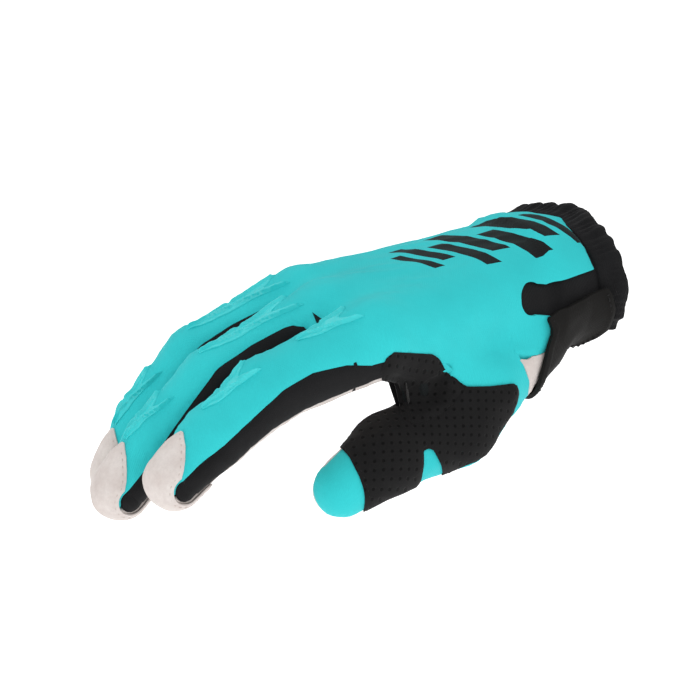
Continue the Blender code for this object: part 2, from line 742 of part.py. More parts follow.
# The moulded guards: where each starts and ends along its finger, and its outline as
# half-widths in degrees at shares of its length, with a notch between two prongs
GUARD_COLUMNS = ("name", "finger", "start", "end")
GUARD_TABLE = (
    ("knuckle_guard_index", "index", 1.15, 1.66),
    ("knuckle_guard_middle", "middle", 1.26, 2.0),
    ("knuckle_guard_ring", "ring", 1.2, 1.95),
    ("knuckle_guard_little", "little", 1.2, 1.9),
    ("finger_guard_index", "index", 2.03, 2.9),
    ("finger_guard_middle", "middle", 2.5, 3.3),
    ("finger_guard_ring", "ring", 2.4, 3.3),
    ("finger_guard_little", "little", 2.3, 3.1),
)
GUARD_OUTLINE = ((0.0, 24.0), (0.22, 20.0), (0.42, 15.0), (0.65, 16.0), (0.85, 11.0), (1.0, 3.0))
GUARD_NOTCH = 0.25
GUARD_ROWS = 7
GUARD_SHARES = np.array((-1.0, -0.5, 0.0, 0.5, 1.0))


def guard_sheet(finger, start, end):
    """One moulded guard: two prongs towards the wrist that join and taper to a tail."""
    sheet = Sheet()
    rows = []
    for share in np.linspace(0.0, 1.0, GUARD_ROWS):
        half = np.interp(share, *np.array(GUARD_OUTLINE).T)
        notch = GUARD_NOTCH * (1.0 - np.abs(GUARD_SHARES)) * (1.0 - share)
        stations = start + (end - start) * (share + notch)
        rows.append(finger_points(finger, stations, GUARD_SHARES * half))
    sheet.grid(rows)
    return sheet


# The black patch on the thumb. Its edges are stations at angles round the thumb, and its
# wedge window opens towards the underside. Its lobe over the web is given as reach, side
# and rise, shares of PALM_LENGTH.
PATCH_ANGLES = (-47.0, -35.0, -20.0, -6.0, 8.0, 23.0, 40.0, 56.0, 69.0, 82.0)
PATCH_WRIST_EDGE = (
    (-47.0, 1.0), (-28.0, 0.92), (-6.0, 0.76), (14.0, 0.60), (23.0, 0.56), (49.0, 0.68),
    (56.0, 0.85), (63.0, 1.0), (69.0, 1.23), (88.0, 1.43),
)
PATCH_TIP_EDGE = ((-100.0, 2.62), (-42.0, 2.60), (-6.0, 2.66), (18.0, 2.73), (56.0, 2.88), (88.0, 2.96))
WINDOW_ANGLE = 8.0
WINDOW_WRIST_EDGE = ((8.0, 1.74), (19.0, 1.64), (40.0, 1.59), (77.0, 1.48))
WINDOW_TIP_EDGE = ((8.0, 1.74), (21.0, 1.77), (49.0, 1.84), (85.0, 1.89))
PATCH_TOP_EDGE = ((-47.0, 1.9), (-59.0, 2.02), (-70.0, 2.29), (-96.0, 2.59))
PATCH_TOP_ANGLES = (-96.0, -80.0, -70.0, -59.0)
LEG_ROWS = 5
PATCH_LOBE = (
    (0.679, -0.605, -0.158), (0.732, -0.649, -0.081), (0.763, -0.658, -0.058),
    (0.848, -0.678, -0.035), (0.959, -0.708, -0.005), (0.991, -0.702, -0.024),
    (1.008, -0.683, -0.071), (0.979, -0.625, -0.126),
)


def edge_at(edge, angle):
    return np.interp(angle, *np.array(edge).T)


def leg_rows(angles, near, far):
    """Points across a stretch of the patch, from one edge to the other."""
    rows = []
    for angle in angles:
        stations = np.linspace(edge_at(near, angle), edge_at(far, angle), LEG_ROWS)
        rows.append(thumb_points(stations, np.full(LEG_ROWS, angle)))
    return np.array(rows)


def patch_sheet():
    """The black patch round the foot of the thumb, over the web and along the thumb."""
    sheet = Sheet()
    above = [angle for angle in PATCH_ANGLES if angle <= WINDOW_ANGLE]
    below = [angle for angle in PATCH_ANGLES if angle >= WINDOW_ANGLE]
    middle = ((-100.0, WINDOW_WRIST_EDGE[0][1]), (100.0, WINDOW_WRIST_EDGE[0][1]))
    foot = leg_rows(above, PATCH_WRIST_EDGE, middle)
    sheet.grid(foot)
    sheet.grid(leg_rows(above, middle, PATCH_TIP_EDGE))
    sheet.grid(leg_rows(below, PATCH_WRIST_EDGE, WINDOW_WRIST_EDGE))
    sheet.grid(leg_rows(below, WINDOW_TIP_EDGE, PATCH_TIP_EDGE))
    lobe = np.array([place(*row) * (PALM_LENGTH, PALM_SPREAD, PALM_LENGTH) for row in PATCH_LOBE])
    across = np.linspace(0, len(lobe) - 1, LEG_ROWS)
    outline = np.stack([np.interp(across, np.arange(len(lobe)), lobe[:, k]) for k in range(3)], -1)
    outline = settle(outline, glove)
    rows = [foot[0] + (outline - foot[0]) * share for share in (0.0, 0.35, 0.7, 1.0)]
    push = np.array((-0.2, -0.8, 0.5)) * 0.004
    sheet.grid([rows[0], *(settle(row + push, glove) for row in rows[1:3]), rows[3]][::-1])
    return sheet


# The cuff beyond the panels' wrist edge, as shares of its length and of its flare
CUFF_LENGTH = 0.0105
CUFF_FLARE = 0.0032
PALM_CUFF_FLARE = 0.0012
CUFF_PROFILE = ((0.0, 0.0), (0.33, 0.3), (0.67, 0.8), (1.0, 1.0))


def wrist_line(belly):
    """The panels' wrist edge, from the thumb's side to the little finger's."""
    shares = PALM_SHARES if belly else BACK_SHARES
    line = []
    for finger in FINGERS:
        rows = strip_rows(finger, shares, belly)
        if finger == "index":
            rows = clear_thumb(rows) if belly else rows
            line += list(radial_rows(rows[:, 0], belly)[0][:-1])
            line.append(rows[0, 0])
        line += list(rows[0, 1:])
    if not belly:
        side = side_rows("little", 1.0, -1.0, Sheet())
        line += list(side[0, 1:])
    return np.array(line)


def cuff_piece(name, belly, flare):
    """The knitted cuff on one side of the wrist, turned out towards its edge."""
    line = wrist_line(belly)
    sheet = Sheet()
    rows = []
    for advance, _ in CUFF_PROFILE:
        row = line - place(advance * CUFF_LENGTH, 0, 0)
        rows.append(settle(row, form) if advance else row)
    sheet.grid(rows, flip=belly)
    lifts = np.array([share * flare for _, share in CUFF_PROFILE])
    edge = np.array([sheet.point(p) for p in np.concatenate(rows)])
    lift = np.zeros(len(sheet.points))
    lift[edge] = np.repeat(lifts, len(line))
    return shell(name, sheet, CUFF_WALL, BLACK, lift)


# The wrist strap, by rows round the forearm: the angle from the back towards the thumb
# and the reach, as a share of WRIST_LENGTH, of its finger edge and of its arm edge
STRAP_TABLE = (
    (95.0, 1.00, 84.0, -0.60),
    (103.0, 0.90, 97.0, -0.78),
    (112.0, 1.12, 111.0, -0.82),
    (122.0, 1.30, 125.0, -0.60),
    (135.0, 1.28, 140.0, -0.46),
    (150.0, 1.20, 155.0, -0.46),
    (166.0, 1.12, 170.0, -0.50),
    (182.0, 1.05, 185.0, -0.52),
    (200.0, 1.00, 200.0, -0.55),
    (214.0, 1.00, 214.0, -0.55),
)
STRAP_SHARES = np.linspace(0.0, 1.0, 6)
STRAP_STEP_START = -0.2
STRAP_STEP_END = -0.65


def wrist_points(angles, reaches):
    """Points round the wrist; angles grow from its back over the thumb's side."""
    turn = np.radians(angles)
    rays = np.stack([np.zeros_like(turn), -np.sin(turn), np.cos(turn)], -1)
    middles = np.stack([-np.asarray(reaches), np.zeros_like(turn), np.zeros_like(turn)], -1)
    return cast(middles, rays, form)


def strap_piece():
    """The closure strap: from the thumb's side of the wrist round under the palm."""
    sheet = Sheet()
    rows = []
    for start_angle, start, end_angle, end in STRAP_TABLE:
        angles = start_angle + (end_angle - start_angle) * STRAP_SHARES
        rows.append(wrist_points(angles, (start + (end - start) * STRAP_SHARES) * WRIST_LENGTH))
    sheet.grid(rows)
    reach = -np.array(sheet.points)[:, 0] / WRIST_LENGTH
    over = np.clip((STRAP_STEP_START - reach) / (STRAP_STEP_START - STRAP_STEP_END), 0, 1)
    lift = LAYER_GAP + STRAP_WALL + over * PALM_CUFF_FLARE
    return shell("wrist_strap", sheet, STRAP_WALL, STRAP_BLACK, lift, 2)


# The slot in the back at the thumb's side of the wrist, a round hole with a notch, in
# shares of WRIST_LENGTH, and the stretch gusset under it, as angles and reaches
SLOT_REACH = 1.24
SLOT_RISE = 0.23
SLOT_RADIUS = 0.33
SLOT_NOTCH = ((0.66, 0.36), (0.0, 0.52), (-0.70, 0.55), (-0.50, 0.40), (0.40, 0.02), (0.99, -0.17))
GUSSET_ANGLES = np.linspace(66.0, 104.0, 5)
GUSSET_REACHES = np.linspace(-0.30, 1.75, 6)


def gusset_piece():
    sheet = Sheet()
    rows = [wrist_points(GUSSET_ANGLES, np.full(5, r * WRIST_LENGTH)) for r in GUSSET_REACHES]
    sheet.grid(rows)
    lift = -SHELL - LAYER_GAP
    return shell("wrist_gusset", sheet, GUSSET_WALL, BLACK, lift, -1)


def slot_cutter():
    """An upright plate across the thumb's side of the wrist, of the slot's outline."""
    turns = np.radians(np.linspace(-60.0, 75.0, 12))
    ring = [(SLOT_REACH + SLOT_RADIUS * cos(t), SLOT_RISE + SLOT_RADIUS * sin(t)) for t in turns]
    ring = ring + list(SLOT_NOTCH[:-1])
    near, far = -0.9 * WRIST_WIDTH, -0.25 * WRIST_WIDTH
    mesh = bpy.data.meshes.new("slot_cutter")
    shape = bmesh.new()
    points = [shape.verts.new(place(r * WRIST_LENGTH, near, z * WRIST_LENGTH)) for r, z in ring]
    face = shape.faces.new(points)
    depth = bmesh.ops.extrude_face_region(shape, geom=[face])
    moved = [v for v in depth["geom"] if isinstance(v, bmesh.types.BMVert)]
    bmesh.ops.translate(shape, verts=moved, vec=(0.0, far - near, 0.0))
    bmesh.ops.recalc_face_normals(shape, faces=shape.faces)
    shape.to_mesh(mesh)
    shape.free()
    cutter = bpy.data.objects.new("slot_cutter", mesh)
    cutter.hide_render = True
    cutter.display_type = "WIRE"
    CUTTERS.objects.link(cutter)
    return cutter


def cut(body, cutter):
    step = body.modifiers.new("slot", "BOOLEAN")
    step.operation = "DIFFERENCE"
    step.object = cutter


def panels():
    """The sewn panels that make up the hand."""
    pieces = [
        shell("back_panel", strip_sheet(False), SHELL, TEAL),
        shell("palm_panel", strip_sheet(True), SHELL, SUEDE),
    ]
    for near, far in zip(FINGERS[:-1], FINGERS[1:]):
        pieces.append(shell(f"side_{near}_{far}", between_sheet(near, far), SHELL, BLACK))
    outer = outer_sheet("index", -1.0, OUTER_STRIP_START)
    pieces.append(shell("side_index_outer", outer, SHELL, BLACK))
    pieces.append(shell("side_little_outer", outer_sheet("little", 1.0, -1.0), SHELL, BLACK))
    pieces.append(shell("thumb_back", thumb_sheet(False), SHELL, TEAL))
    pieces.append(shell("thumb_palm", thumb_sheet(True), SHELL, SUEDE))
    return pieces


def overlays():
    """What is sewn, bonded or strapped over the panels."""
    over = LAYER_GAP + WRAP_WALL
    pieces = [shell(f"fingertip_wrap_{finger}", wrap_sheet(finger), WRAP_WALL, SUEDE, over, 1)
              for finger in FINGERS]
    for row in GUARD_TABLE:
        guard = dict(zip(GUARD_COLUMNS, row))
        sheet = guard_sheet(guard["finger"], guard["start"], guard["end"])
        lift = LAYER_GAP + GUARD_HEIGHT
        pieces.append(shell(guard["name"], sheet, GUARD_HEIGHT, TEAL_RUBBER, lift, 1))
    lift = LAYER_GAP + PATCH_WALL
    pieces.append(shell("thumb_patch", patch_sheet(), PATCH_WALL, BLACK, lift, 1))
    return pieces


def main():
    pieces = panels()
    pieces.append(cuff_piece("cuff_band", False, CUFF_FLARE))
    pieces.append(cuff_piece("palm_cuff", True, PALM_CUFF_FLARE))
    pieces += overlays()
    pieces += [gusset_piece(), strap_piece()]
    ease(pieces)
    for piece in pieces:
        body = build(piece)
        if piece["name"] == "back_panel":
            cut(body, slot_cutter())


main()
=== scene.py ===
"""Looks of a motocross glove for the right hand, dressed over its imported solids.

The hand form is the same distance field as in the model: rounded cones along the bones,
blended smoothly. Each panel is cast on it again as a fine grid, with folds, seams that
pull the cloth in, stitches and finishes.
"""

from math import cos, pi, radians, sin

import bmesh
import bpy
import numpy as np
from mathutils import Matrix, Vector, noise
from mathutils.bvhtree import BVHTree
from mathutils.kdtree import KDTree


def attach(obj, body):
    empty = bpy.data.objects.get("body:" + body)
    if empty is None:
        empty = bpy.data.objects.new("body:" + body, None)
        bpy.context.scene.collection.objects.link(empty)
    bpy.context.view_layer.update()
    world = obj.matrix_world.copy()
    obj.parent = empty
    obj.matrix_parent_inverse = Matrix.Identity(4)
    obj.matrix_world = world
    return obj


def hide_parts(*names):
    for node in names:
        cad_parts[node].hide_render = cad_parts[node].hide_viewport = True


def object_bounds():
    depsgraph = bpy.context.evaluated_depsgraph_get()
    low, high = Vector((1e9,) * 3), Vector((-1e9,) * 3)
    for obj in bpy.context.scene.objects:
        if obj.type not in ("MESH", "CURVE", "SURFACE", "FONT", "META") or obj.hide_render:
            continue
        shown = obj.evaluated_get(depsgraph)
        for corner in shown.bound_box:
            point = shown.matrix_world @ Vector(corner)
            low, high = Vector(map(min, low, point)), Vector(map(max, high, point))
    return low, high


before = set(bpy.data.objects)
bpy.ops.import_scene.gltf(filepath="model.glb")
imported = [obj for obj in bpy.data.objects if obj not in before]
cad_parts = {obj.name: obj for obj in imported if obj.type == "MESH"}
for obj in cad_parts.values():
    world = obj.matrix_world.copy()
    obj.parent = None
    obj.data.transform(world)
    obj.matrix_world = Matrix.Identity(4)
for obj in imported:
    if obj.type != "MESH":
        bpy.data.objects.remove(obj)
CAD_BOX = [list(corner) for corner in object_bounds()]

# Hand sizes
PALM_LENGTH = 0.0950
PALM_SPREAD = 0.0650
FINGER_LENGTH = 0.0995
FINGER_RADIUS = 0.0122
KNUCKLE_RADIUS = 0.0148
THUMB_LENGTH = 0.0985
THUMB_RADIUS = 0.0153
WRIST_WIDTH = 0.0660
WRIST_THICKNESS = 0.0470
WRIST_LENGTH = 0.0180

# Cloth and leather
SHELL = 0.0012
CREVICE = 0.0012
CUFF_WALL = 0.0022
PATCH_WALL = 0.0009
WRAP_WALL = 0.0008
GUARD_HEIGHT = 0.0012
STRAP_WALL = 0.0019
GUSSET_WALL = 0.0010
SEAM_GAP = 0.00012
LAYER_GAP = 0.0003

# Seams, as angles from the back of a finger, in degrees
BACK_SEAM = 72.0
PALM_SEAM = 138.0
SEAM_STATIONS = (0.95, 1.2, 1.5, 2.1)
SEAM_SHARES = (1.0, 0.8, 0.8, 1.0)
# The same seam on the thumb's side of each finger, as angles at stations
THUMB_SIDE_STATIONS = (0.95, 1.24, 1.36, 1.45, 1.72, 2.08, 2.55, 3.05, 3.6)
INDEX_SIDE_SEAM = (104.0, 99.0, 88.0, 80.0, 68.0, 73.0, 77.0, 79.0, 72.0)
MIDDLE_SIDE_SEAM = (72.0, 58.0, 52.0, 40.0, 38.0, 48.0, 57.0, 68.0, 72.0)

# Stations along a finger: 0 at the wrist end of its hand bone, 1 at the knuckle, 2 and 3
# at its joints and 4 at the middle of its tip. Each finger's own slit is moved to SLIT.
SLIT = 1.36
THUMB_FREE = 1.35
WRIST_STATIONS = (-1.0, -0.5, 0.0, 0.12, 0.24)
HAND_STATIONS = (0.36, 0.45, 0.54, 0.63, 0.72)
COARSE_STATIONS = (
    *WRIST_STATIONS, *HAND_STATIONS, 0.82, 0.95, 1.04, 1.13, 1.24, SLIT, 1.45, 1.58, 1.72,
    1.88, 2.08, 2.3, 2.55, 2.8, 3.05, 3.35, 3.7, 4.0,
)
FINE = 4
TIP_STEPS = 8


def refined(values, parts):
    """A row of values with steps put in between them."""
    values = np.asarray(values, float)
    count = (len(values) - 1) * parts + 1
    return np.interp(np.arange(count) / parts, np.arange(len(values)), values)


ALL_STATIONS = refined(COARSE_STATIONS, FINE)
FREE_START = ALL_STATIONS[ALL_STATIONS > SLIT + 1e-6][0]
TIP_ANGLES = 90.0 * np.arange(1, TIP_STEPS + 1) / TIP_STEPS
BACK_SHARES = refined((-1.0, 0.0, 1.0), 7)
PALM_SHARES = refined((-1.0, 0.0, 1.0), 6)
SIDE_COLUMNS = 12
SIDE_HALF = 4
SIDE_MIDDLE = 90.0

FINGERS = ("index", "middle", "ring", "little")

# Rows, one for each finger. cuff_reach is how far its panel reaches up the arm, as a
# share of WRIST_LENGTH. wrist_* and knuckle_* are shares of PALM_LENGTH (reach and
# rise) or of PALM_SPREAD (side), *_thick are shares of KNUCKLE_RADIUS. slit is where the
# finger parts from the next, as a station past the knuckle. yaw and the three pitches are degrees, the bones shares of FINGER_LENGTH, joints shares of FINGER_RADIUS.
FINGER_COLUMNS = (
    "cuff_reach", "wrist_reach", "wrist_side", "wrist_rise", "wrist_thick",
    "knuckle_reach", "knuckle_side", "knuckle_rise", "knuckle_thick",
    "slit", "yaw", "pitch_1", "pitch_2", "pitch_3", "bone_1", "bone_2", "bone_3",
    "joint_1", "joint_2", "joint_3",
)
FINGER_TABLE = {
    "index": (0.55, 0.063, -0.231, 0.010, 1.120, 0.937, -0.477, 0.000, 0.973,
              1.36, -1.0, 13.5, 30.0, 37.0, 0.467, 0.261, 0.196, 1.00, 0.934, 0.803),
    "middle": (0.70, 0.042, -0.077, 0.018, 1.290, 0.995, -0.123, 0.016, 1.000,
               1.30, 1.0, 17.5, 38.0, 45.0, 0.492, 0.302, 0.206, 1.00, 0.918, 0.803),
    "ring": (0.40, 0.042, 0.108, 0.014, 1.290, 0.950, 0.231, 0.008, 0.959,
             1.25, 3.0, 17.0, 45.0, 57.0, 0.467, 0.291, 0.206, 0.967, 0.885, 0.770),
    "little": (0.10, 0.063, 0.246, -0.012, 1.120, 0.821, 0.523, -0.084, 0.851,
               1.72, 6.0, 22.0, 44.0, 54.0, 0.372, 0.221, 0.191, 0.852, 0.787, 0.705),
}

# Thumb joints: reach, side and rise as shares of THUMB_LENGTH, thick of THUMB_RADIUS
THUMB_TABLE = (
    (0.162, -0.213, -0.125, 1.000),
    (0.569, -0.335, -0.386, 1.000),
    (0.857, -0.335, -0.442, 0.889),
    (1.030, -0.284, -0.558, 0.693),
)


def place(reach, side, rise):
    """A point from its distances towards the fingers, the little finger and the back."""
    return np.array([-reach, side, rise])


def unit(vectors):
    vectors = np.asarray(vectors, float)
    return vectors / np.linalg.norm(vectors, axis=-1, keepdims=True)


def finger_row(finger):
    return dict(zip(FINGER_COLUMNS, FINGER_TABLE[finger]))


def finger_bones(finger):
    """The joints of one finger from the wrist to the middle of its tip, and their radii."""
    row = finger_row(finger)
    joints = [
        place(row["wrist_reach"] * PALM_LENGTH, row["wrist_side"] * PALM_SPREAD,
              row["wrist_rise"] * PALM_LENGTH),
        place(row["knuckle_reach"] * PALM_LENGTH, row["knuckle_side"] * PALM_SPREAD,
              row["knuckle_rise"] * PALM_LENGTH),
    ]
    radii = [row["wrist_thick"] * KNUCKLE_RADIUS, row["knuckle_thick"] * KNUCKLE_RADIUS]
    yaw = radians(row["yaw"])
    for bone in (1, 2, 3):
        pitch = radians(row[f"pitch_{bone}"])
        along = place(cos(pitch) * cos(yaw), cos(pitch) * sin(yaw), -sin(pitch))
        joints.append(joints[-1] + along * row[f"bone_{bone}"] * FINGER_LENGTH)
        radii.append(row[f"joint_{bone}"] * FINGER_RADIUS)
    return np.array(joints), np.array(radii)


def thumb_bones():
    table = np.array(THUMB_TABLE)
    joints = np.array([place(*row[:3]) for row in table]) * THUMB_LENGTH
    return joints, table[:, 3] * THUMB_RADIUS


BONES = {finger: finger_bones(finger) for finger in FINGERS}
BONES["thumb"] = thumb_bones()


def cone(points, start, end, start_radius, end_radius):
    """Distance to a rounded cone."""
    axis = end - start
    share = np.clip((points - start) @ axis / (axis @ axis), 0, 1)
    away = points - start - share[..., None] * axis
    return np.sqrt((away**2).sum(-1)) - (start_radius + (end_radius - start_radius) * share)


def blend(first, second, width):
    """Smooth union of two distances."""
    share = np.clip(0.5 + 0.5 * (second - first) / width, 0, 1)
    return second + (first - second) * share - width * share * (1 - share)


# How widely the form's lumps melt into each other
JOINT_BLEND = 0.003
PALM_BLEND = 0.011
FINGER_BLEND = 0.0025
PAD_BLEND = 0.009

# Pads and webs: start and end as reach and rise shares of PALM_LENGTH, side of
# PALM_SPREAD, thick of KNUCKLE_RADIUS, in the order reach, side, rise, thick
HEEL_PAD = ((0.17, 0.37, -0.095, 1.01), (0.63, 0.46, -0.095, 0.88))
THUMB_WEB = ((0.46, -0.55, -0.253, 0.61), (0.76, -0.46, -0.105, 0.61))
FINGER_WEB_THICK = 0.54
FINGER_WEB_SHARE = 0.26


def pad_ends(pad):
    ends = [place(r * PALM_LENGTH, s * PALM_SPREAD, z * PALM_LENGTH) for r, s, z, _ in pad]
    return ends[0], ends[1], pad[0][3] * KNUCKLE_RADIUS, pad[1][3] * KNUCKLE_RADIUS


def form(points):
    """Distance from the gloved hand's surface, negative inside."""
    reach = -points[..., 0]
    spread = np.interp(reach, [0.74 * PALM_LENGTH, 1.18 * PALM_LENGTH], [PALM_BLEND, FINGER_BLEND])
    whole = None
    for finger in FINGERS:
        joints, radii = BONES[finger]
        one = cone(points, joints[0], joints[1], radii[0], radii[1])
        for i in (1, 2, 3):
            bone = cone(points, joints[i], joints[i + 1], radii[i], radii[i + 1])
            one = blend(one, bone, JOINT_BLEND)
        whole = one if whole is None else blend(whole, one, spread)
    for near, far in zip(FINGERS[:-1], FINGERS[1:]):
        ends = [BONES[f][0][1] + (BONES[f][0][2] - BONES[f][0][1]) * FINGER_WEB_SHARE
                - place(0, 0, 0.14 * KNUCKLE_RADIUS) for f in (near, far)]
        thick = FINGER_WEB_THICK * KNUCKLE_RADIUS
        whole = blend(whole, cone(points, ends[0], ends[1], thick, thick), 0.005)
    whole = blend(whole, cone(points, *pad_ends(HEEL_PAD)), PAD_BLEND)
    joints, radii = BONES["thumb"]
    thumb = cone(points, joints[0], joints[1], radii[0], radii[1])
    for i in (1, 2):
        thumb = blend(thumb, cone(points, joints[i], joints[i + 1], radii[i], radii[i + 1]),
                      JOINT_BLEND)
    whole = blend(whole, thumb, PAD_BLEND)
    whole = blend(whole, cone(points, *pad_ends(THUMB_WEB)), 0.010)
    oval = np.hypot(points[..., 1] / (WRIST_WIDTH / 2), points[..., 2] / (WRIST_THICKNESS / 2))
    forearm = (oval - 1) * (WRIST_WIDTH + WRIST_THICKNESS) / 4
    forearm = np.maximum(forearm, reach - 0.006)
    forearm = np.maximum(forearm, -WRIST_LENGTH - 0.010 - reach)
    return blend(whole, forearm, 0.008)


def outward(points, field):
    """Unit normals of a distance field."""
    step = 2e-5
    slope = [field(points + step * axis) - field(points - step * axis) for axis in np.eye(3)]
    return unit(np.stack(slope, -1))


def cast(origins, directions, field):
    """Where rays that start inside the field leave it."""
    far = np.zeros(directions.shape[:-1])
    for _ in range(36):
        far -= 0.92 * np.minimum(field(origins + directions * far[..., None]), 0.004)
    return origins + directions * far[..., None]


def finger_frames(finger, stations):
    """Middles of the finger at stations along it, with its along, up and side axes."""
    joints, _ = BONES[finger]
    row = finger_row(finger)
    wrist = place(-WRIST_LENGTH * row["cuff_reach"], 0.9 * joints[0][1], 0.0)
    knots = np.vstack([wrist, joints])
    at = np.interp(stations, (-1, 1, SLIT, 2, 4), (-1, 1, row["slit"], 2, 4))
    middles = np.stack([np.interp(at, [-1, 0, 1, 2, 3, 4], knots[:, k]) for k in range(3)], -1)
    pitches = [0.0, 0.0, row["pitch_1"], row["pitch_2"], row["pitch_3"]]
    pitch = np.radians(np.interp(at, [0.0, 0.8, 1.5, 2.5, 3.5], pitches))
    yaw = radians(row["yaw"])
    along = np.stack([-np.cos(pitch) * cos(yaw), np.cos(pitch) * sin(yaw), -np.sin(pitch)], -1)
    side = np.broadcast_to(np.array([sin(yaw), cos(yaw), 0.0]), along.shape)
    up = np.cross(along, side) * -1.0
    return middles, along, up * np.sign(up[..., 2:3]), side


def finger_radius(finger, stations):
    radii = BONES[finger][1]
    at = np.interp(stations, (-1, 1, SLIT, 2, 4), (-1, 1, finger_row(finger)["slit"], 2, 4))
    return np.interp(at, [0, 1, 2, 3, 4], radii)


def chain(points, joints, radii):
    """Distance to a finger or thumb past its knuckle."""
    one = cone(points, joints[1], joints[2], radii[1], radii[2])
    for i in range(2, len(joints) - 1):
        one = blend(one, cone(points, joints[i], joints[i + 1], radii[i], radii[i + 1]),
                    JOINT_BLEND)
    return one


def slit_reach(finger):
    """How far from the wrist a finger (or the thumb) stands free of the hand."""
    joints, _ = BONES[finger]
    free = THUMB_FREE if finger == "thumb" else finger_row(finger)["slit"]
    start = joints[1] + (joints[2] - joints[1]) * (free - 1.0)
    return -start[0]


def glove(points):
    """The form, with each finger by itself past the slits and a crevice between two that
    touch."""
    names = (*FINGERS, "thumb")
    apart = np.stack([chain(points, *BONES[name]) for name in names])
    order = np.argsort(apart, 0)[:2]
    own, second = np.take_along_axis(apart, order, 0)
    starts = np.array([slit_reach(name) for name in names])[order]
    reach = -points[..., 0]
    share = np.clip((reach - starts[0] + 0.003) / 0.009, 0, 1)
    whole = form(points)
    whole = whole + (own - whole) * share
    crevice = np.minimum((CREVICE - second + own) / 2, reach - starts.mean(0))
    return np.maximum(whole, crevice)


def finger_points(finger, stations, angles):
    """Points round a finger: rays at angles from its back, an angle for each station."""
    middles, _, up, side = finger_frames(finger, stations)
    turn = np.radians(angles)[..., None]
    rays = np.cos(turn) * up + np.sin(turn) * side
    return cast(middles, unit(rays), glove)


def settle(points, field):
    """Slide points along the slope of a field until they lie on its zero level."""
    for _ in range(6):
        points = points - outward(points, field) * field(points)[..., None] * 0.9
    return points


BELLY_SEAM = 180.0 - PALM_SEAM


def half_width(over):
    """Half the width of the back and palm strips, in degrees, over the tip."""
    return BACK_SEAM + (BELLY_SEAM - BACK_SEAM) * over / 180.0


# Ulnar seams of the back and of the palm: stations and angles from the back of the finger
OUTER_SEAM_STATIONS = (-1.0, 0.6, 1.1)
BACK_OUTER_SEAM = (88.0, 84.0, BACK_SEAM)
PALM_OUTER_SEAM = (112.0, 118.0, PALM_SEAM)


def thumb_side_seam(finger, stations):
    """The back seam on the thumb's side of a finger, in degrees."""
    seams = INDEX_SIDE_SEAM if finger == "index" else MIDDLE_SIDE_SEAM
    return np.interp(stations, THUMB_SIDE_STATIONS, seams)


def outer_seam(stations, belly):
    """The seam on the little finger's side, as an angle from the back (or the palm)."""
    seams = PALM_OUTER_SEAM if belly else BACK_OUTER_SEAM
    angles = np.interp(stations, OUTER_SEAM_STATIONS, seams)
    return 180.0 - angles if belly else angles


def shared_border(near, far, stations, belly):
    """The line between the strips of two fingers, before the slit parts them."""
    ends = [finger_frames(f, stations) for f in (near, far)]
    across = ends[1][0] - ends[0][0]
    wide = np.linalg.norm(across, axis=-1, keepdims=True)
    thick = [finger_radius(f, stations)[:, None] for f in (near, far)]
    lean = np.clip((stations - 0.8) / 0.4, 0, 1)[:, None]
    middle = ends[0][0] + across * (0.5 + lean * (thick[0] - thick[1]) / wide / 2)
    across = across / wide
    up = unit(ends[0][2] + ends[1][2]) * (-1.0 if belly else 1.0)
    up = unit(up - lean * np.sum(up * across, -1, keepdims=True) * across)
    return cast(middle, up, form)


def strip_rows(finger, shares, belly):
    """The back (or palm) strip of a finger in rows, from the wrist over half its tip.
    The shares run across it, from -1 on the thumb's side to 1."""
    stations = np.array(ALL_STATIONS)
    index = FINGERS.index(finger)
    seam = BELLY_SEAM if belly else BACK_SEAM * np.interp(stations, SEAM_STATIONS, SEAM_SHARES)
    half = np.ones((len(stations), 2)) * np.reshape(seam, (-1, 1))
    if not belly:
        half[:, 0] = thumb_side_seam(finger, stations)
    if finger == "little":
        half[:, 1] = outer_seam(stations, belly)
    shares = np.array(shares)
    angles = np.where(shares < 0, half[:, :1], half[:, 1:]) * shares
    angles = 180.0 - angles if belly else angles
    count = len(shares)
    spread = np.repeat(stations[:, None], count, 1)
    rows = finger_points(finger, spread, angles)
    body = int(np.sum(stations <= SLIT + 1e-6))
    middles, _, up, _ = finger_frames(finger, stations[:body])
    up = up * (-1.0 if belly else 1.0)
    top = cast(middles, up, form)
    for side, beside in ((-1, index - 1), (1, index + 1)):
        if not 0 <= beside < 4:
            continue
        pair = (FINGERS[min(index, beside)], FINGERS[max(index, beside)])
        border = shared_border(*pair, stations[:body], belly)
        for i in np.flatnonzero(shares * side > 0):
            guess = top + (border - top) * abs(shares[i])
            if abs(shares[i]) < 1:
                guess = settle(guess + up * 0.002, form)
            rows[:body, i] = guess
    if belly and 0 < index < 3:
        rows[:body, 1:-1] = settle(rows[:body, 1:-1], form)
    tip = tip_rows(finger, np.array(TIP_ANGLES), shares, belly)
    return np.concatenate([rows, tip])


def tip_rows(finger, overs, shares, belly):
    """Rows of the strips where they turn round the finger's tip."""
    overs = (180.0 - overs if belly else overs)[:, None]
    middle, along, up, side = finger_frames(finger, np.array([4.0]))
    turn = np.radians(shares * half_width(overs))[..., None]
    over = np.radians(overs)[..., None]
    rays = np.cos(turn) * (np.cos(over) * up[0] + np.sin(over) * along[0]) + np.sin(turn) * side[0]
    return cast(middle[0], unit(rays), glove)


THUMB_BACK = unit(place(0.25, -0.82, 0.36))
THUMB_SEAM = 90.0
THUMB_LOOP_MIDDLE = 1.05
THUMB_LOOP_REACH = 0.55
THUMB_LOOP_TOP = -60.0


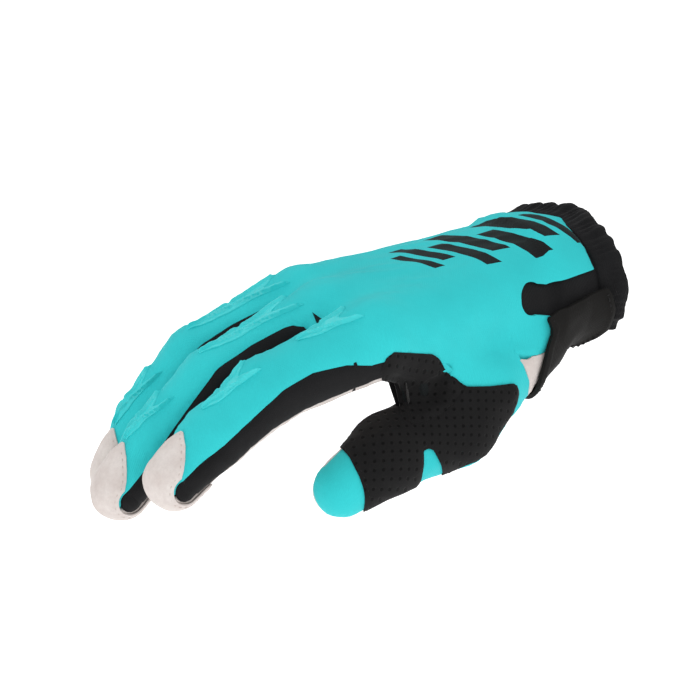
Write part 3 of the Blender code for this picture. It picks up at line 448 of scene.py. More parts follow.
def thumb_frames(stations):
    """Middles of the thumb at stations along it, with its along, back and side axes."""
    joints, _ = BONES["thumb"]
    at = np.asarray(stations, float)
    middles = np.stack([np.interp(at, [0, 1, 2, 3], joints[:, k]) for k in range(3)], -1)
    runs = unit(np.diff(joints, axis=0))
    along = unit(np.stack([np.interp(at, [0.5, 1.5, 2.5], runs[:, k]) for k in range(3)], -1))
    up = unit(THUMB_BACK - (along @ THUMB_BACK)[..., None] * along)
    return middles, along, up, np.cross(up, along)


def thumb_points(stations, angles, overs=0.0):
    """Points round the thumb; angles grow from its back, away from the index finger."""
    middles, along, up, side = thumb_frames(stations)
    turn = np.radians(angles)[..., None]
    over = np.radians(np.asarray(overs, float))[..., None]
    rays = np.cos(turn) * (np.cos(over) * up + np.sin(over) * along) + np.sin(turn) * side
    return cast(middles, unit(rays), glove)


def loop_stations(angles):
    """Where the seam round the foot of the thumb lies: it reaches furthest at the web."""
    return THUMB_LOOP_MIDDLE + THUMB_LOOP_REACH * np.cos(np.radians(angles - THUMB_LOOP_TOP))


def thumb_loop(angles):
    return thumb_points(loop_stations(angles), angles)


class Sheet:
    """An open surface gathered from grids of points, welded where grids share a point."""

    def __init__(self):
        self.points = []
        self.faces = []
        self.keys = {}

    def point(self, position):
        key = tuple(np.round(np.asarray(position) * 1e5).astype(int))
        if key not in self.keys:
            self.keys[key] = len(self.points)
            self.points.append(np.asarray(position, float))
        return self.keys[key]

    def face(self, corners):
        """A triangle, or a quad split along its shorter diagonal."""
        ring = [self.point(corner) for corner in corners]
        ring = [v for i, v in enumerate(ring) if v != ring[i - 1]]
        if len(ring) == 4:
            first, second = [np.linalg.norm(self.points[ring[i]] - self.points[ring[i + 2]])
                             for i in (0, 1)]
            start = 0 if first <= second else 1
            ring = ring[start:] + ring[:start]
            self.faces += [ring[:3], [ring[0], *ring[2:]]]
        elif len(set(ring)) == len(ring) == 3:
            self.faces.append(ring)

    def grid(self, rows, flip=False):
        """Faces between rows of points; rows run forwards and each row sideways."""
        for near, far in zip(rows[:-1], rows[1:]):
            for i in range(len(near) - 1):
                corners = [near[i], near[i + 1], far[i + 1], far[i]]
                self.face(corners[::-1] if flip else corners)

    def spread(self, rows, values):
        """Values given for rows of points, as one value for each point of the sheet."""
        gathered = np.zeros(len(self.points))
        for row, numbers in zip(rows, np.broadcast_to(values, (len(rows), len(rows[0])))):
            for position, number in zip(row, numbers):
                gathered[self.point(position)] = number
        return gathered


def rim_edges(faces):
    """The edges on the border of a sheet, in the order in which its faces run, and the
    third corner of the triangle on each."""
    edges = {(f[i - 1], f[i]): f[(i + 1) % 3] for f in faces for i in range(3)}
    return [(a, b, c) for (a, b), c in edges.items() if (b, a) not in edges]


# The seam between back and palm below the thumb: stations, and angles from the index's back
OUTER_SIDE_MIDDLE = 105.0
THENAR_STATIONS = (-1.0, 0.36)
THENAR_ANGLES = (-140.0, -128.0)
OUTER_STRIP_START = 0.95


def radial_border(stations, belly):
    """The thumb side's seam of the back and of the palm, by stations of the index: first
    below the thumb, then round the loop at its foot, then up to the index's strip."""
    first, last = HAND_STATIONS[0], HAND_STATIONS[-1]
    below = finger_points("index", stations, np.interp(stations, THENAR_STATIONS, THENAR_ANGLES))
    share = np.clip((stations - first) / (last - first), 0, 1)
    loop = thumb_loop(THUMB_LOOP_TOP + (1.0 - share) * (-180.0 if belly else 180.0))
    line = np.where((stations < first - 1e-6)[:, None], below, loop)
    above = finger_points("index", np.array([OUTER_STRIP_START]), np.array([-OUTER_SIDE_MIDDLE]))[0]
    share = np.clip((stations - last) / (OUTER_STRIP_START - last), 0, 1)[:, None]
    web = loop + (above - loop) * share
    web = np.where(share < 0.99, settle(web + place(0.004, 0, -0.001), form), above)
    return np.where((stations > last + 1e-6)[:, None], web, line)


def radial_rows(edge, belly):
    """The rows that carry the back or palm down to the thumb side's seam."""
    stations = np.array([s for s in ALL_STATIONS if s <= OUTER_STRIP_START + 1e-6])
    edge = edge[:len(stations)]
    border = radial_border(stations, belly)
    share = np.arange(SIDE_COLUMNS + 1)[:, None] / SIDE_COLUMNS
    rows = border[:, None] + (edge - border)[:, None] * share
    push = outward(rows[:, 1:-1], form) * 0.003
    rows[:, 1:-1] = settle(rows[:, 1:-1] + push, form)
    return rows


def clear_thumb(rows):
    """Lay the palm's rows at the foot of the thumb between its loop and the next strip."""
    stations = np.array([s for s in ALL_STATIONS if s < OUTER_STRIP_START - 1e-6])
    border = radial_border(stations, True)
    columns = rows.shape[1] - 1
    for i in range(columns):
        share = (SIDE_COLUMNS + i) / (SIDE_COLUMNS + columns)
        line = border + (rows[:len(stations), -1] - border) * share
        rows[:len(stations), i] = settle(line - place(0, 0, 0.003), form)
    return rows


def strip_sheet(belly):
    """The back or the palm in one sheet: the hand and its four finger strips."""
    sheet = Sheet()
    shares = PALM_SHARES if belly else BACK_SHARES
    for finger in FINGERS:
        rows = strip_rows(finger, shares, belly)
        if belly and finger == "index":
            rows = clear_thumb(rows)
        sheet.grid(rows, flip=belly)
        if finger == "index":
            sheet.grid(radial_rows(rows[:, 0], belly), flip=belly)
    return sheet


def side_angles(finger, side, stations):
    """Angles across a side panel, from its back seam over the middle to its palm seam."""
    back = BACK_SEAM * np.interp(stations, SEAM_STATIONS, SEAM_SHARES)
    if side < 0:
        back = thumb_side_seam(finger, stations)
    palm = np.full(len(stations), PALM_SEAM)
    middle = np.maximum(SIDE_MIDDLE, back + 4.0)
    if finger == "little" and side > 0:
        back = outer_seam(stations, False)
        palm = 180.0 - outer_seam(stations, True)
        middle = np.interp(stations, (1.1, 2.0), (1.0, 0.0)) * ((back + palm) / 2 - SIDE_MIDDLE) + SIDE_MIDDLE
    share = np.linspace(0, 1, SIDE_HALF + 1)
    first = back[:, None] + (middle - back)[:, None] * share
    second = middle[:, None] + (palm - middle)[:, None] * share[1:]
    return np.concatenate([first, second], 1)


def side_rows(finger, side, first, sheet):
    """One finger's half of a side panel; its round end at the tip goes on the sheet."""
    stations = ALL_STATIONS[ALL_STATIONS >= first - 1e-6]
    start = len(ALL_STATIONS) - len(stations)
    stop = len(ALL_STATIONS)
    back = strip_rows(finger, (side,), False)
    palm = strip_rows(finger, (side,), True)
    angles = side_angles(finger, side, stations)
    spread = np.repeat(stations[:, None], angles.shape[1], 1)
    rows = finger_points(finger, spread, side * angles)
    rows[:, 0] = back[start:stop, 0]
    rows[:, -1] = palm[start:stop, 0]
    overs = np.concatenate([[0.0], TIP_ANGLES, 180.0 - TIP_ANGLES[-2::-1], [180.0]])
    middle, along, up, across = finger_frames(finger, np.array([4.0]))
    share = np.linspace(0, 1, SIDE_HALF + 1)
    half = half_width(overs)
    turn = np.radians(side * (half[:, None] + (SIDE_MIDDLE - half[:, None]) * share))[..., None]
    over = np.radians(overs)[:, None, None]
    rays = np.cos(turn) * (np.cos(over) * up[0] + np.sin(over) * along[0]) + np.sin(turn) * across[0]
    cap = cast(middle[0], unit(rays), glove)
    cap[0] = rows[-1, :SIDE_HALF + 1]
    cap[-1] = rows[-1, :SIDE_HALF - 1:-1]
    rim = np.concatenate([back[stop:, 0], palm[stop:, 0][-2::-1]])
    cap[1:-1, 0] = rim
    cap[:, -1] = rows[-1, SIDE_HALF]
    sheet.grid(cap, flip=side < 0)
    return rows


def between_sheet(near, far):
    """The black side panel that runs down one finger, through the web and up the next."""
    sheet = Sheet()
    near_rows = side_rows(near, 1.0, FREE_START, sheet)
    far_rows = side_rows(far, -1.0, FREE_START, sheet)
    slit = np.array([SLIT])
    back = shared_border(near, far, slit, False)[0]
    palm = shared_border(near, far, slit, True)[0]
    web = back + (palm - back) * np.linspace(0, 1, 2 * SIDE_HALF + 1)[:, None]
    sheet.grid(np.concatenate([near_rows[::-1], [web], far_rows]))
    return sheet


def outer_sheet(finger, side, first):
    """The side panel on the outer side of the index or the little finger."""
    sheet = Sheet()
    sheet.grid(side_rows(finger, side, first, sheet), flip=side > 0)
    return sheet


THUMB_STATIONS = refined((1.75, 2.05, 2.35, 2.65, 3.0), 5)
THUMB_FOOT_ROWS = 10


def thumb_sheet(belly):
    """The thumb's back or its palm side, from the loop at its foot to its tip."""
    sheet = Sheet()
    count = (len(HAND_STATIONS) - 1) * FINE + 1
    loop = THUMB_LOOP_TOP + np.linspace(0.0, -180.0 if belly else 180.0, count)
    angles = np.linspace(-90.0, -270.0 if belly else 90.0, count)
    rows = []
    for share in np.arange(THUMB_FOOT_ROWS) / THUMB_FOOT_ROWS:
        stations = loop_stations(loop) * (1 - share) + THUMB_STATIONS[0] * share
        rows.append(thumb_points(stations, loop * (1 - share) + angles * share))
    rows += [thumb_points(np.full(count, s), angles) for s in THUMB_STATIONS]
    tilt = np.linspace(-90.0, 90.0, count)
    for over in TIP_ANGLES:
        over = 180.0 - over if belly else over
        rows.append(thumb_points(np.full(count, 3.0), tilt, np.full(count, over)))
    sheet.grid(np.array(rows))
    return sheet


WEB_MIDDLE = place(0.80 * PALM_LENGTH, -0.50 * PALM_SPREAD, -0.19 * PALM_LENGTH)
WEB_RADIUS = 0.034
RELAX_ROUNDS = 40


def relax(sheet, middle, radius):
    """Even out the points of a sheet near a place along the form; its border stays."""
    points = np.array(sheet.points)
    edges = np.array(sorted({tuple(sorted((f[i - 1], f[i]))) for f in sheet.faces for i in range(3)}))
    pull = np.clip(2.0 - 2.0 * np.linalg.norm(points - middle, axis=1) / radius, 0.0, 0.7)
    for a, b, _ in rim_edges(sheet.faces):
        pull[[a, b]] = 0.0
    free = pull > 0
    degree = np.bincount(edges.ravel(), minlength=len(points))[:, None]
    for i in range(RELAX_ROUNDS):
        total = np.zeros_like(points)
        np.add.at(total, edges[:, 0], points[edges[:, 1]])
        np.add.at(total, edges[:, 1], points[edges[:, 0]])
        points[free] += ((total / degree - points) * pull[:, None])[free]
        if i % 4 == 3:
            points[free] = settle(points[free], glove)
    sheet.points = list(points)
    return sheet


# Fingertip caps, as stations or angles over the tip and half-widths in degrees
WRAP_STATIONS = refined((3.35, 3.52, 3.7, 3.85, 4.0), 4)
WRAP_HALF_WIDTHS = refined((3.0, 28.0, 45.0, 57.0, 66.0), 4)
WRAP_OVERS = refined((0.0, 22.5, 45.0, 67.5, 90.0, 112.5, 135.0, 157.5, 180.0), 3)[1:-1]
WRAP_TIP_HALF_WIDTHS = refined((66.0, 64.0, 61.0, 58.0, 55.0, 52.0, 49.0, 45.0, 42.0), 3)[1:-1]
WRAP_PALM_STATIONS = refined((4.0, 3.8, 3.6), 4)
WRAP_PALM_HALF_WIDTH = 42.0
WRAP_SHARES = np.linspace(-1.0, 1.0, 25)


def wrap_sheet(finger):
    """The suede tip of a finger: a tongue on its back that turns round the tip."""
    count = len(WRAP_SHARES)
    rows = [finger_points(finger, np.full(count, station), WRAP_SHARES * half)
            for station, half in zip(WRAP_STATIONS, WRAP_HALF_WIDTHS)]
    middle, along, up, side = finger_frames(finger, np.array([4.0]))
    for over, half in zip(np.radians(WRAP_OVERS), WRAP_TIP_HALF_WIDTHS):
        turn = np.radians(WRAP_SHARES * half)[:, None]
        forward = cos(over) * up[0] + sin(over) * along[0]
        rows.append(cast(middle[0], unit(np.cos(turn) * forward + np.sin(turn) * side[0]), glove))
    for station in WRAP_PALM_STATIONS:
        angles = 180.0 - WRAP_SHARES * WRAP_PALM_HALF_WIDTH
        rows.append(finger_points(finger, np.full(count, station), angles))
    sheet = Sheet()
    sheet.grid(rows)
    return sheet


# The moulded guards: where each starts and ends along its finger, and its outline as
# half-widths in degrees at shares of its length, with a notch between two prongs
GUARD_COLUMNS = ("name", "finger", "start", "end")
GUARD_TABLE = (
    ("knuckle_guard_index", "index", 1.15, 1.66),
    ("knuckle_guard_middle", "middle", 1.26, 2.0),
    ("knuckle_guard_ring", "ring", 1.2, 1.95),
    ("knuckle_guard_little", "little", 1.2, 1.9),
    ("finger_guard_index", "index", 2.03, 2.9),
    ("finger_guard_middle", "middle", 2.5, 3.3),
    ("finger_guard_ring", "ring", 2.4, 3.3),
    ("finger_guard_little", "little", 2.3, 3.1),
)
GUARD_OUTLINE = ((0.0, 24.0), (0.22, 20.0), (0.42, 15.0), (0.65, 16.0), (0.85, 11.0), (1.0, 3.0))
GUARD_NOTCH = 0.30
GUARD_ROWS = 60
GUARD_SHARES = np.linspace(-1.0, 1.0, 31)
RIDGE_LINE = ((0.0, 0.80), (0.22, 0.72), (0.42, 0.52), (0.6, 0.30), (0.75, 0.0), (1.0, 0.0))
RIDGE_WIDTH = 0.16
GUARD_BASE = 0.34


def guard_height(across, along):
    """Height of a guard as a share: a thin base with two ridges that meet in a spine."""
    line = np.interp(along, *np.array(RIDGE_LINE).T)
    ridge = np.clip(1.0 - np.abs((np.abs(across) - line) / RIDGE_WIDTH), 0, 1)
    cut_in = np.clip((np.abs(along - 0.5) - 0.012) / 0.02, 0.35, 1)
    edge = np.clip((1.0 - np.abs(across)) / 0.12, 0.15, 1)
    ends = np.clip(np.minimum(along, 1 - along) / 0.04, 0.3, 1)
    crest = np.minimum(1.0, ridge * 2.2)
    return (GUARD_BASE + (1.25 - GUARD_BASE) * crest * cut_in) * edge * ends


def guard_sheet(finger, start, end):
    """One moulded guard: two prongs towards the wrist that join and taper to a tail."""
    sheet = Sheet()
    rows = []
    heights = []
    for share in np.linspace(0.0, 1.0, GUARD_ROWS):
        half = np.interp(share, *np.array(GUARD_OUTLINE).T)
        notch = GUARD_NOTCH * (1.0 - np.abs(GUARD_SHARES)) * (1.0 - share)
        stations = start + (end - start) * (share + notch)
        rows.append(finger_points(finger, stations, GUARD_SHARES * half))
        heights.append(guard_height(GUARD_SHARES, share))
    sheet.grid(rows)
    return sheet, sheet.spread(rows, np.array(heights))


# The black patch on the thumb. Its edges are stations at angles round the thumb, and its
# wedge window opens towards the underside.
PATCH_ANGLES = refined((-95.0, -79.0, -63.0, -47.0, -35.0, -20.0, -6.0, 8.0, 23.0, 40.0, 56.0, 69.0, 82.0), 4)
PATCH_WRIST_EDGE = (
    (-95.0, 1.5), (-63.0, 1.2), (-47.0, 1.0), (-28.0, 0.92), (-6.0, 0.76), (14.0, 0.60), (23.0, 0.56), (49.0, 0.68),
    (56.0, 0.85), (63.0, 1.0), (69.0, 1.23), (88.0, 1.43),
)
PATCH_TIP_EDGE = ((-100.0, 2.62), (-42.0, 2.60), (-6.0, 2.66), (18.0, 2.73), (56.0, 2.88), (88.0, 2.96))
WINDOW_ANGLE = 8.0
WINDOW_WRIST_EDGE = ((8.0, 1.74), (19.0, 1.64), (40.0, 1.59), (77.0, 1.48))
WINDOW_TIP_EDGE = ((8.0, 1.74), (21.0, 1.77), (49.0, 1.84), (85.0, 1.89))
LEG_ROWS = 21
# Its flap over the web, as lines seen in the photograph's view, in millimetres right of
# and above the view's middle: its free edge, and the line where it lies on the patch
FLAP_EDGE = (
    (1.4, -14.9), (0.7, -11.3), (2.8, -7.1), (5.6, -4.9), (13.4, -5.3), (19.4, -5.6),
    (21.6, -7.1), (24.6, -12.2), (29.5, -16.6),
)
FLAP_FOOT = (
    (1.4, -15.2), (6.8, -15.9), (8.8, -21.0), (7.5, -27.0), (12.0, -30.5), (17.0, -29.5),
    (22.0, -27.0), (27.0, -23.0), (31.0, -17.6),
)
FLAP_COLUMNS = 60
FLAP_ROWS = 34


def edge_at(edge, angle):
    return np.interp(angle, *np.array(edge).T)


def leg_rows(angles, near, far):
    """Points across a stretch of the patch, from one edge to the other."""
    rows = []
    for angle in angles:
        stations = np.linspace(edge_at(near, angle), edge_at(far, angle), LEG_ROWS)
        rows.append(thumb_points(stations, np.full(LEG_ROWS, angle)))
    return np.array(rows)


def patch_sheet():
    """The black patch round the foot of the thumb, over the web and along the thumb."""
    sheet = Sheet()
    above = [angle for angle in PATCH_ANGLES if angle <= WINDOW_ANGLE]
    below = [angle for angle in PATCH_ANGLES if angle >= WINDOW_ANGLE]
    middle = ((-100.0, WINDOW_WRIST_EDGE[0][1]), (100.0, WINDOW_WRIST_EDGE[0][1]))
    foot = leg_rows(above, PATCH_WRIST_EDGE, middle)
    sheet.grid(foot)
    sheet.grid(leg_rows(above, middle, PATCH_TIP_EDGE))
    sheet.grid(leg_rows(below, PATCH_WRIST_EDGE, WINDOW_WRIST_EDGE))
    sheet.grid(leg_rows(below, WINDOW_TIP_EDGE, PATCH_TIP_EDGE))
    return sheet


# The photograph's view: from the thumb's side and a little above
VIEW_TURN = -33.0
VIEW_RISE = 18.0
VIEW_DISTANCE = 1.0
VIEW_LENS = 145.5
VIEW_TARGET = place(0.088, -0.031, 0.0)
PIXEL = VIEW_DISTANCE / 2830.0
TARGET_RIGHT = 28
TARGET_UP = 12


def view_axes():
    """The photograph's view: the direction towards the eye, right and up."""
    turn, rise = radians(VIEW_TURN), radians(VIEW_RISE)
    back = np.array((sin(turn) * cos(rise), -cos(turn) * cos(rise), sin(rise)))
    right = np.array((cos(turn), sin(turn), 0.0))
    return back, right, np.cross(back, right)


def curve_through(points, count):
    """A smooth line through points, at even steps."""
    points = np.array(points)
    line = resampled(points, np.linalg.norm(points[-1] - points[0]) / 400)
    for _ in range(14):
        line[1:-1] = line[1:-1] / 2 + (line[:-2] + line[2:]) / 4
    return line[np.round(np.linspace(0, len(line) - 1, count)).astype(int)]


def flap_sheet(bodies):
    """The patch's flap over the web between the thumb and the hand, laid on the panels."""
    back, right, up = view_axes()
    corners = np.vstack([[v.co[:] for v in body.data.vertices] for body in bodies])
    faces = []
    start = 0
    for body in bodies:
        faces += [[v + start for v in face.vertices] for face in body.data.polygons]
        start += len(body.data.vertices)
    tree = BVHTree.FromPolygons([Vector(c) for c in corners], faces)
    eye = VIEW_TARGET + back * VIEW_DISTANCE
    edge = curve_through(FLAP_EDGE, FLAP_COLUMNS)
    foot = curve_through(FLAP_FOOT, FLAP_COLUMNS)
    rows = []
    for share in np.linspace(0, 1, FLAP_ROWS):
        row = []
        for across, rise in (edge + (foot - edge) * share) / 1000:
            aim = VIEW_TARGET + right * across + up * rise
            hit = tree.ray_cast(Vector(eye), Vector(aim - eye).normalized())[0]
            row.append(hit or tree.find_nearest(Vector(aim - back * 0.01))[0])
        rows.append(np.array([p[:] for p in row]))
    sheet = Sheet()
    sheet.grid(rows)
    points = np.array(sheet.points)
    free = np.ones(len(points), bool)
    for a, b, _ in rim_edges(sheet.faces):
        free[[a, b]] = False
    for _ in range(6):
        points[free] = smooth_field(points, sheet.faces, 1)[free]
    sheet.points = list(points)
    return sheet


# The cuff beyond the panels' wrist edge, as shares of its length and of its flare
CUFF_LENGTH = 0.0105
CUFF_FLARE = 0.0032
PALM_CUFF_FLARE = 0.0012
CUFF_ADVANCE = refined((0.0, 0.33, 0.67, 1.0), 5)
CUFF_TURN = refined((0.0, 0.3, 0.8, 1.0), 5)
RIB_DEPTH = 0.0005
RIB_PITCH = 0.0026


def wrist_line(belly):
    """The panels' wrist edge, from the thumb's side to the little finger's."""
    shares = PALM_SHARES if belly else BACK_SHARES
    line = []
    for finger in FINGERS:
        rows = strip_rows(finger, shares, belly)
        if finger == "index":
            rows = clear_thumb(rows) if belly else rows
            line += list(radial_rows(rows[:, 0], belly)[0][:-1])
            line.append(rows[0, 0])
        line += list(rows[0, 1:])
    if not belly:
        side = side_rows("little", 1.0, -1.0, Sheet())
        line += list(side[0, 1:])
    return np.array(line)


def cuff_piece(name, belly, flare):
    """The knitted cuff on one side of the wrist, turned out towards its edge."""
    line = resampled(wrist_line(belly), RIB_PITCH / 6)
    sheet = Sheet()
    rows = []
    for advance in CUFF_ADVANCE:
        row = line - place(advance * CUFF_LENGTH, 0, 0)
        rows.append(settle(row, form) if advance else row)
    sheet.grid(rows, flip=belly)
    run = np.arange(len(line)) * 2 * pi / 6
    gather = 0.5 + 0.5 * np.sin(run + 1.5 * np.sin(run * 0.23))
    fold = 0.5 + 0.5 * np.sin(run * 0.31 + 2.0 * np.sin(run * 0.07))
    ribs = -RIB_DEPTH * gather * np.sin(pi * np.clip(CUFF_ADVANCE, 0, 0.9))[:, None]
    lifts = CUFF_TURN[:, None] * flare * (0.8 + 0.35 * fold) + ribs
    lift = sheet.spread(rows, lifts)
    return dress(name, sheet, CUFF_WALL, "black_knit", lift=lift)


def resampled(line, step):
    """A line of points at an even step."""
    run = np.concatenate([[0], np.cumsum(np.linalg.norm(np.diff(line, axis=0), axis=1))])
    at = np.linspace(0, run[-1], max(2, int(run[-1] / step)))
    return np.stack([np.interp(at, run, line[:, k]) for k in range(line.shape[1])], -1)


# The wrist strap, by rows round the forearm: the angle from the back towards the thumb
# and the reach, as a share of WRIST_LENGTH, of its finger edge and of its arm edge
STRAP_TABLE = (
    (95.0, 1.00, 84.0, -0.60),
    (103.0, 0.90, 97.0, -0.78),
    (112.0, 1.12, 111.0, -0.82),
    (122.0, 1.30, 125.0, -0.60),
    (135.0, 1.28, 140.0, -0.46),
    (150.0, 1.20, 155.0, -0.46),
    (166.0, 1.12, 170.0, -0.50),
    (182.0, 1.05, 185.0, -0.52),
    (200.0, 1.00, 200.0, -0.55),
    (214.0, 1.00, 214.0, -0.55),
)
STRAP_SHARES = np.linspace(0.0, 1.0, 33)
STRAP_STEP_START = -0.2
STRAP_STEP_END = -0.65
BINDING = 0.07


def wrist_points(angles, reaches):
    """Points round the wrist; angles grow from its back over the thumb's side."""
    turn = np.radians(angles)
    rays = np.stack([np.zeros_like(turn), -np.sin(turn), np.cos(turn)], -1)
    middles = np.stack([-np.asarray(reaches), np.zeros_like(turn), np.zeros_like(turn)], -1)
    return cast(middles, rays, form)


def strap_piece():
    """The closure strap: from the thumb's side of the wrist round under the palm, with a
    bound edge on both sides."""
    sheet = Sheet()
    rows = []
    lifts = []
    table = np.stack([refined(column, 6) for column in np.array(STRAP_TABLE).T], -1)
    for start_angle, start, end_angle, end in table:
        angles = start_angle + (end_angle - start_angle) * STRAP_SHARES
        reach = start + (end - start) * STRAP_SHARES
        rows.append(wrist_points(angles, reach * WRIST_LENGTH))
        over = np.clip((STRAP_STEP_START - reach) / (STRAP_STEP_START - STRAP_STEP_END), 0, 1)
        edge = np.minimum(STRAP_SHARES, 1 - STRAP_SHARES)
        welt = np.where(edge < BINDING, 0.0006, 0.0)
        lifts.append(LAYER_GAP + STRAP_WALL + over * 0.0022 + welt)
    sheet.grid(rows)
    return dress("wrist_strap", sheet, STRAP_WALL, "black_strap",
                 lift=sheet.spread(rows, np.array(lifts)))


# The slot in the back at the thumb's side of the wrist, a round hole with a notch, in
# shares of WRIST_LENGTH, and the stretch gusset under it, as angles and reaches
SLOT_REACH = 1.24
SLOT_RISE = 0.23
SLOT_RADIUS = 0.33
SLOT_NOTCH = ((0.80, 0.44), (0.0, 0.52), (-0.70, 0.55), (-0.70, -0.20), (0.40, -0.30), (0.90, -0.16))
GUSSET_ANGLES = np.linspace(60.0, 108.0, 19)
GUSSET_REACHES = np.linspace(-0.98, 1.75, 33)


def gusset_piece():
    sheet = Sheet()
    count = len(GUSSET_ANGLES)
    rows = [wrist_points(GUSSET_ANGLES, np.full(count, r * WRIST_LENGTH)) for r in GUSSET_REACHES]
    sheet.grid(rows)
    return dress("wrist_gusset", sheet, GUSSET_WALL, "black_cloth",
                 lift=-SHELL - LAYER_GAP)


def cut_slot(body):
    """Cut the slot's outline through the back where the gusset lies under it."""
    turns = np.radians(np.linspace(-100.0, 125.0, 36))
    ring = [(SLOT_REACH + SLOT_RADIUS * cos(t), SLOT_RISE + SLOT_RADIUS * sin(t)) for t in turns]
    ring = ring + list(SLOT_NOTCH)
    near, far = -0.9 * WRIST_WIDTH, -0.25 * WRIST_WIDTH
    mesh = bpy.data.meshes.new("slot_cutter")
    shape = bmesh.new()
    points = [shape.verts.new(place(r * WRIST_LENGTH, near, z * WRIST_LENGTH)) for r, z in ring]
    face = shape.faces.new(points)
    depth = bmesh.ops.extrude_face_region(shape, geom=[face])
    moved = [v for v in depth["geom"] if isinstance(v, bmesh.types.BMVert)]
    bmesh.ops.translate(shape, verts=moved, vec=(0.0, far - near, 0.0))
    bmesh.ops.recalc_face_normals(shape, faces=shape.faces)
    shape.to_mesh(mesh)
    shape.free()
    cutter = bpy.data.objects.new("slot_cutter", mesh)
    bpy.context.scene.collection.objects.link(cutter)
    step = body.modifiers.new("slot", "BOOLEAN")
    step.operation = "DIFFERENCE"
    step.object = cutter
    bpy.context.view_layer.update()
    done = bpy.data.meshes.new_from_object(body.evaluated_get(bpy.context.evaluated_depsgraph_get()))
    body.modifiers.clear()
    body.data = done
    bpy.data.objects.remove(cutter, do_unlink=True)


# How the cloth lies: seams pull it in, and folds run across the hand and the joints
SEAM_DEPTH = 0.00055
SEAM_WIDTH = 0.0013
FOLD_HEIGHT = 0.00042
CREASE_HEIGHT = 0.0006


def folds(points):
    """How far the cloth stands off the form: slack folds that run across the hand, and
    creases behind the finger joints and in the thumb's crook."""
    stretch = np.array((46.0, 120.0, 90.0))
    slant = points @ np.array(((1.0, 0.35, 0.0), (-0.35, 1.0, 0.0), (0.0, 0.0, 1.0)))
    heights = np.array([noise.noise(Vector(p)) for p in slant * stretch])
    ridged = 1.0 - 2.0 * np.abs(heights)
    small = np.array([noise.noise(Vector(p)) for p in points * 260.0])
    lift = FOLD_HEIGHT * (ridged - 0.7) + 0.00012 * small
    reach = -points[:, 0]
    for finger in FINGERS:
        joints, radii = BONES[finger]
        for joint in (2, 3):
            away = np.linalg.norm(points - joints[joint], axis=1) / (radii[joint] * 1.35)
            wave = np.sin((reach - -joints[joint][0]) / 0.0021 * 2 * pi / 2.2)
            lift += CREASE_HEIGHT * 0.3 * wave * np.exp(-away**4)
    crook = np.linalg.norm(points - WEB_MIDDLE - np.array((0.004, -0.006, 0.012)), axis=1)
    lines = np.sin((points @ unit((0.55, -0.45, 0.70))) / 0.0052 * 2 * pi)
    lift += CREASE_HEIGHT * 0.5 * lines * np.exp(-(crook / 0.016) ** 2)
    return lift


def rim_distance(points, faces):
    """Distance of each point from the border of its sheet."""
    rim = rim_edges(faces)
    tree = KDTree(2 * len(rim))
    for i, (a, b, _) in enumerate(rim):
        tree.insert(points[a], 2 * i)
        tree.insert((points[a] + points[b]) / 2, 2 * i + 1)
    tree.balance()
    return np.array([tree.find(p)[2] for p in points])


def oriented(points, faces, normals):
    """The faces with their fronts outwards."""
    towards = sum(np.dot(np.cross(points[f[1]] - points[f[0]], points[f[2]] - points[f[0]]),
                         normals[f[0]]) for f in faces[:400])
    return [f[::-1] for f in faces] if towards < 0 else faces


def smooth_field(values, faces, rounds):
    """Values at points, averaged with their neighbours'."""
    ring = np.array(faces)
    for _ in range(rounds):
        total = values.copy()
        mean = values[ring].mean(1)
        for k in range(3):
            np.add.at(total, ring[:, k], mean)
        weight = np.ones(len(values))
        np.add.at(weight, ring.ravel(), 1.0)
        values = total / (weight[:, None] if values.ndim > 1 else weight)
    return values


SPIKE = 0.00045


def calm_border(points, rim):
    """Draw single border points that stick out back between their neighbours."""
    following = {a: b for a, b, _ in rim}
    before = {b: a for a, b, _ in rim}
    for _ in range(3):
        middles = {v: (points[following[v]] + points[before[v]]) / 2 for v in following if v in before}
        for v, middle in middles.items():
            if np.linalg.norm(points[v] - middle) > SPIKE:
                points[v] = middle


RIMS = {}


def dress(name, sheet, wall, look, lift=0.0, edge=0.6, layer=0):
    """A piece of cloth on the form: its outer face, its inner face and its cut edge."""
    points = np.array(sheet.points)
    normals = outward(points, glove)
    faces = oriented(points, sheet.faces, normals)
    normals = unit(smooth_field(normals, faces, 6 if layer else 3))
    near = rim_distance(points, faces)
    sunk = (SEAM_DEPTH if not layer else wall * edge) * np.exp(-((near / SEAM_WIDTH) ** 2))
    inward = np.zeros_like(points)
    for a, b, c in rim_edges(faces):
        along = unit(points[b] - points[a] + 1e-12)
        step = points[c] - points[a]
        step = step - (step @ along) * along
        inward[a] += step
        inward[b] += step
    size = np.linalg.norm(inward, axis=1)
    rim = size > 1e-12
    inward[rim] /= size[rim][:, None]
    height = np.reshape(lift, -1) + folds(points) - sunk
    outer = points + inward * SEAM_GAP + normals * height[:, None]
    inner = outer - normals * (wall - 0.6 * sunk)[:, None]
    for side in (outer, inner):
        calm_border(side, rim_edges(faces))
    RIMS[name] = (outer, inward, normals, rim_edges(faces))
    count = len(points)
    solid = [list(f) for f in faces]
    solid += [[v + count for v in reversed(f)] for f in faces]
    solid += [[b, a, a + count, b + count] for a, b, _ in rim_edges(faces)]
    return add_mesh(name, np.vstack([outer, inner]), solid, look)


def add_mesh(name, corners, faces, look):
    """A mesh object with a look, riding on the glove's body in place of its solid."""
    mesh = bpy.data.meshes.new(name)
    mesh.from_pydata(np.asarray(corners).tolist(), [], faces)
    mesh.validate()
    mesh.shade_smooth()
    mesh.set_sharp_from_angle(angle=radians(62.0))
    piece = bpy.data.objects.new(f"{name}_cloth", mesh)
    bpy.context.scene.collection.objects.link(piece)
    mesh.materials.append(LOOKS[look])
    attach(piece, "root")
    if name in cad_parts:
        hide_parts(name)
    return piece


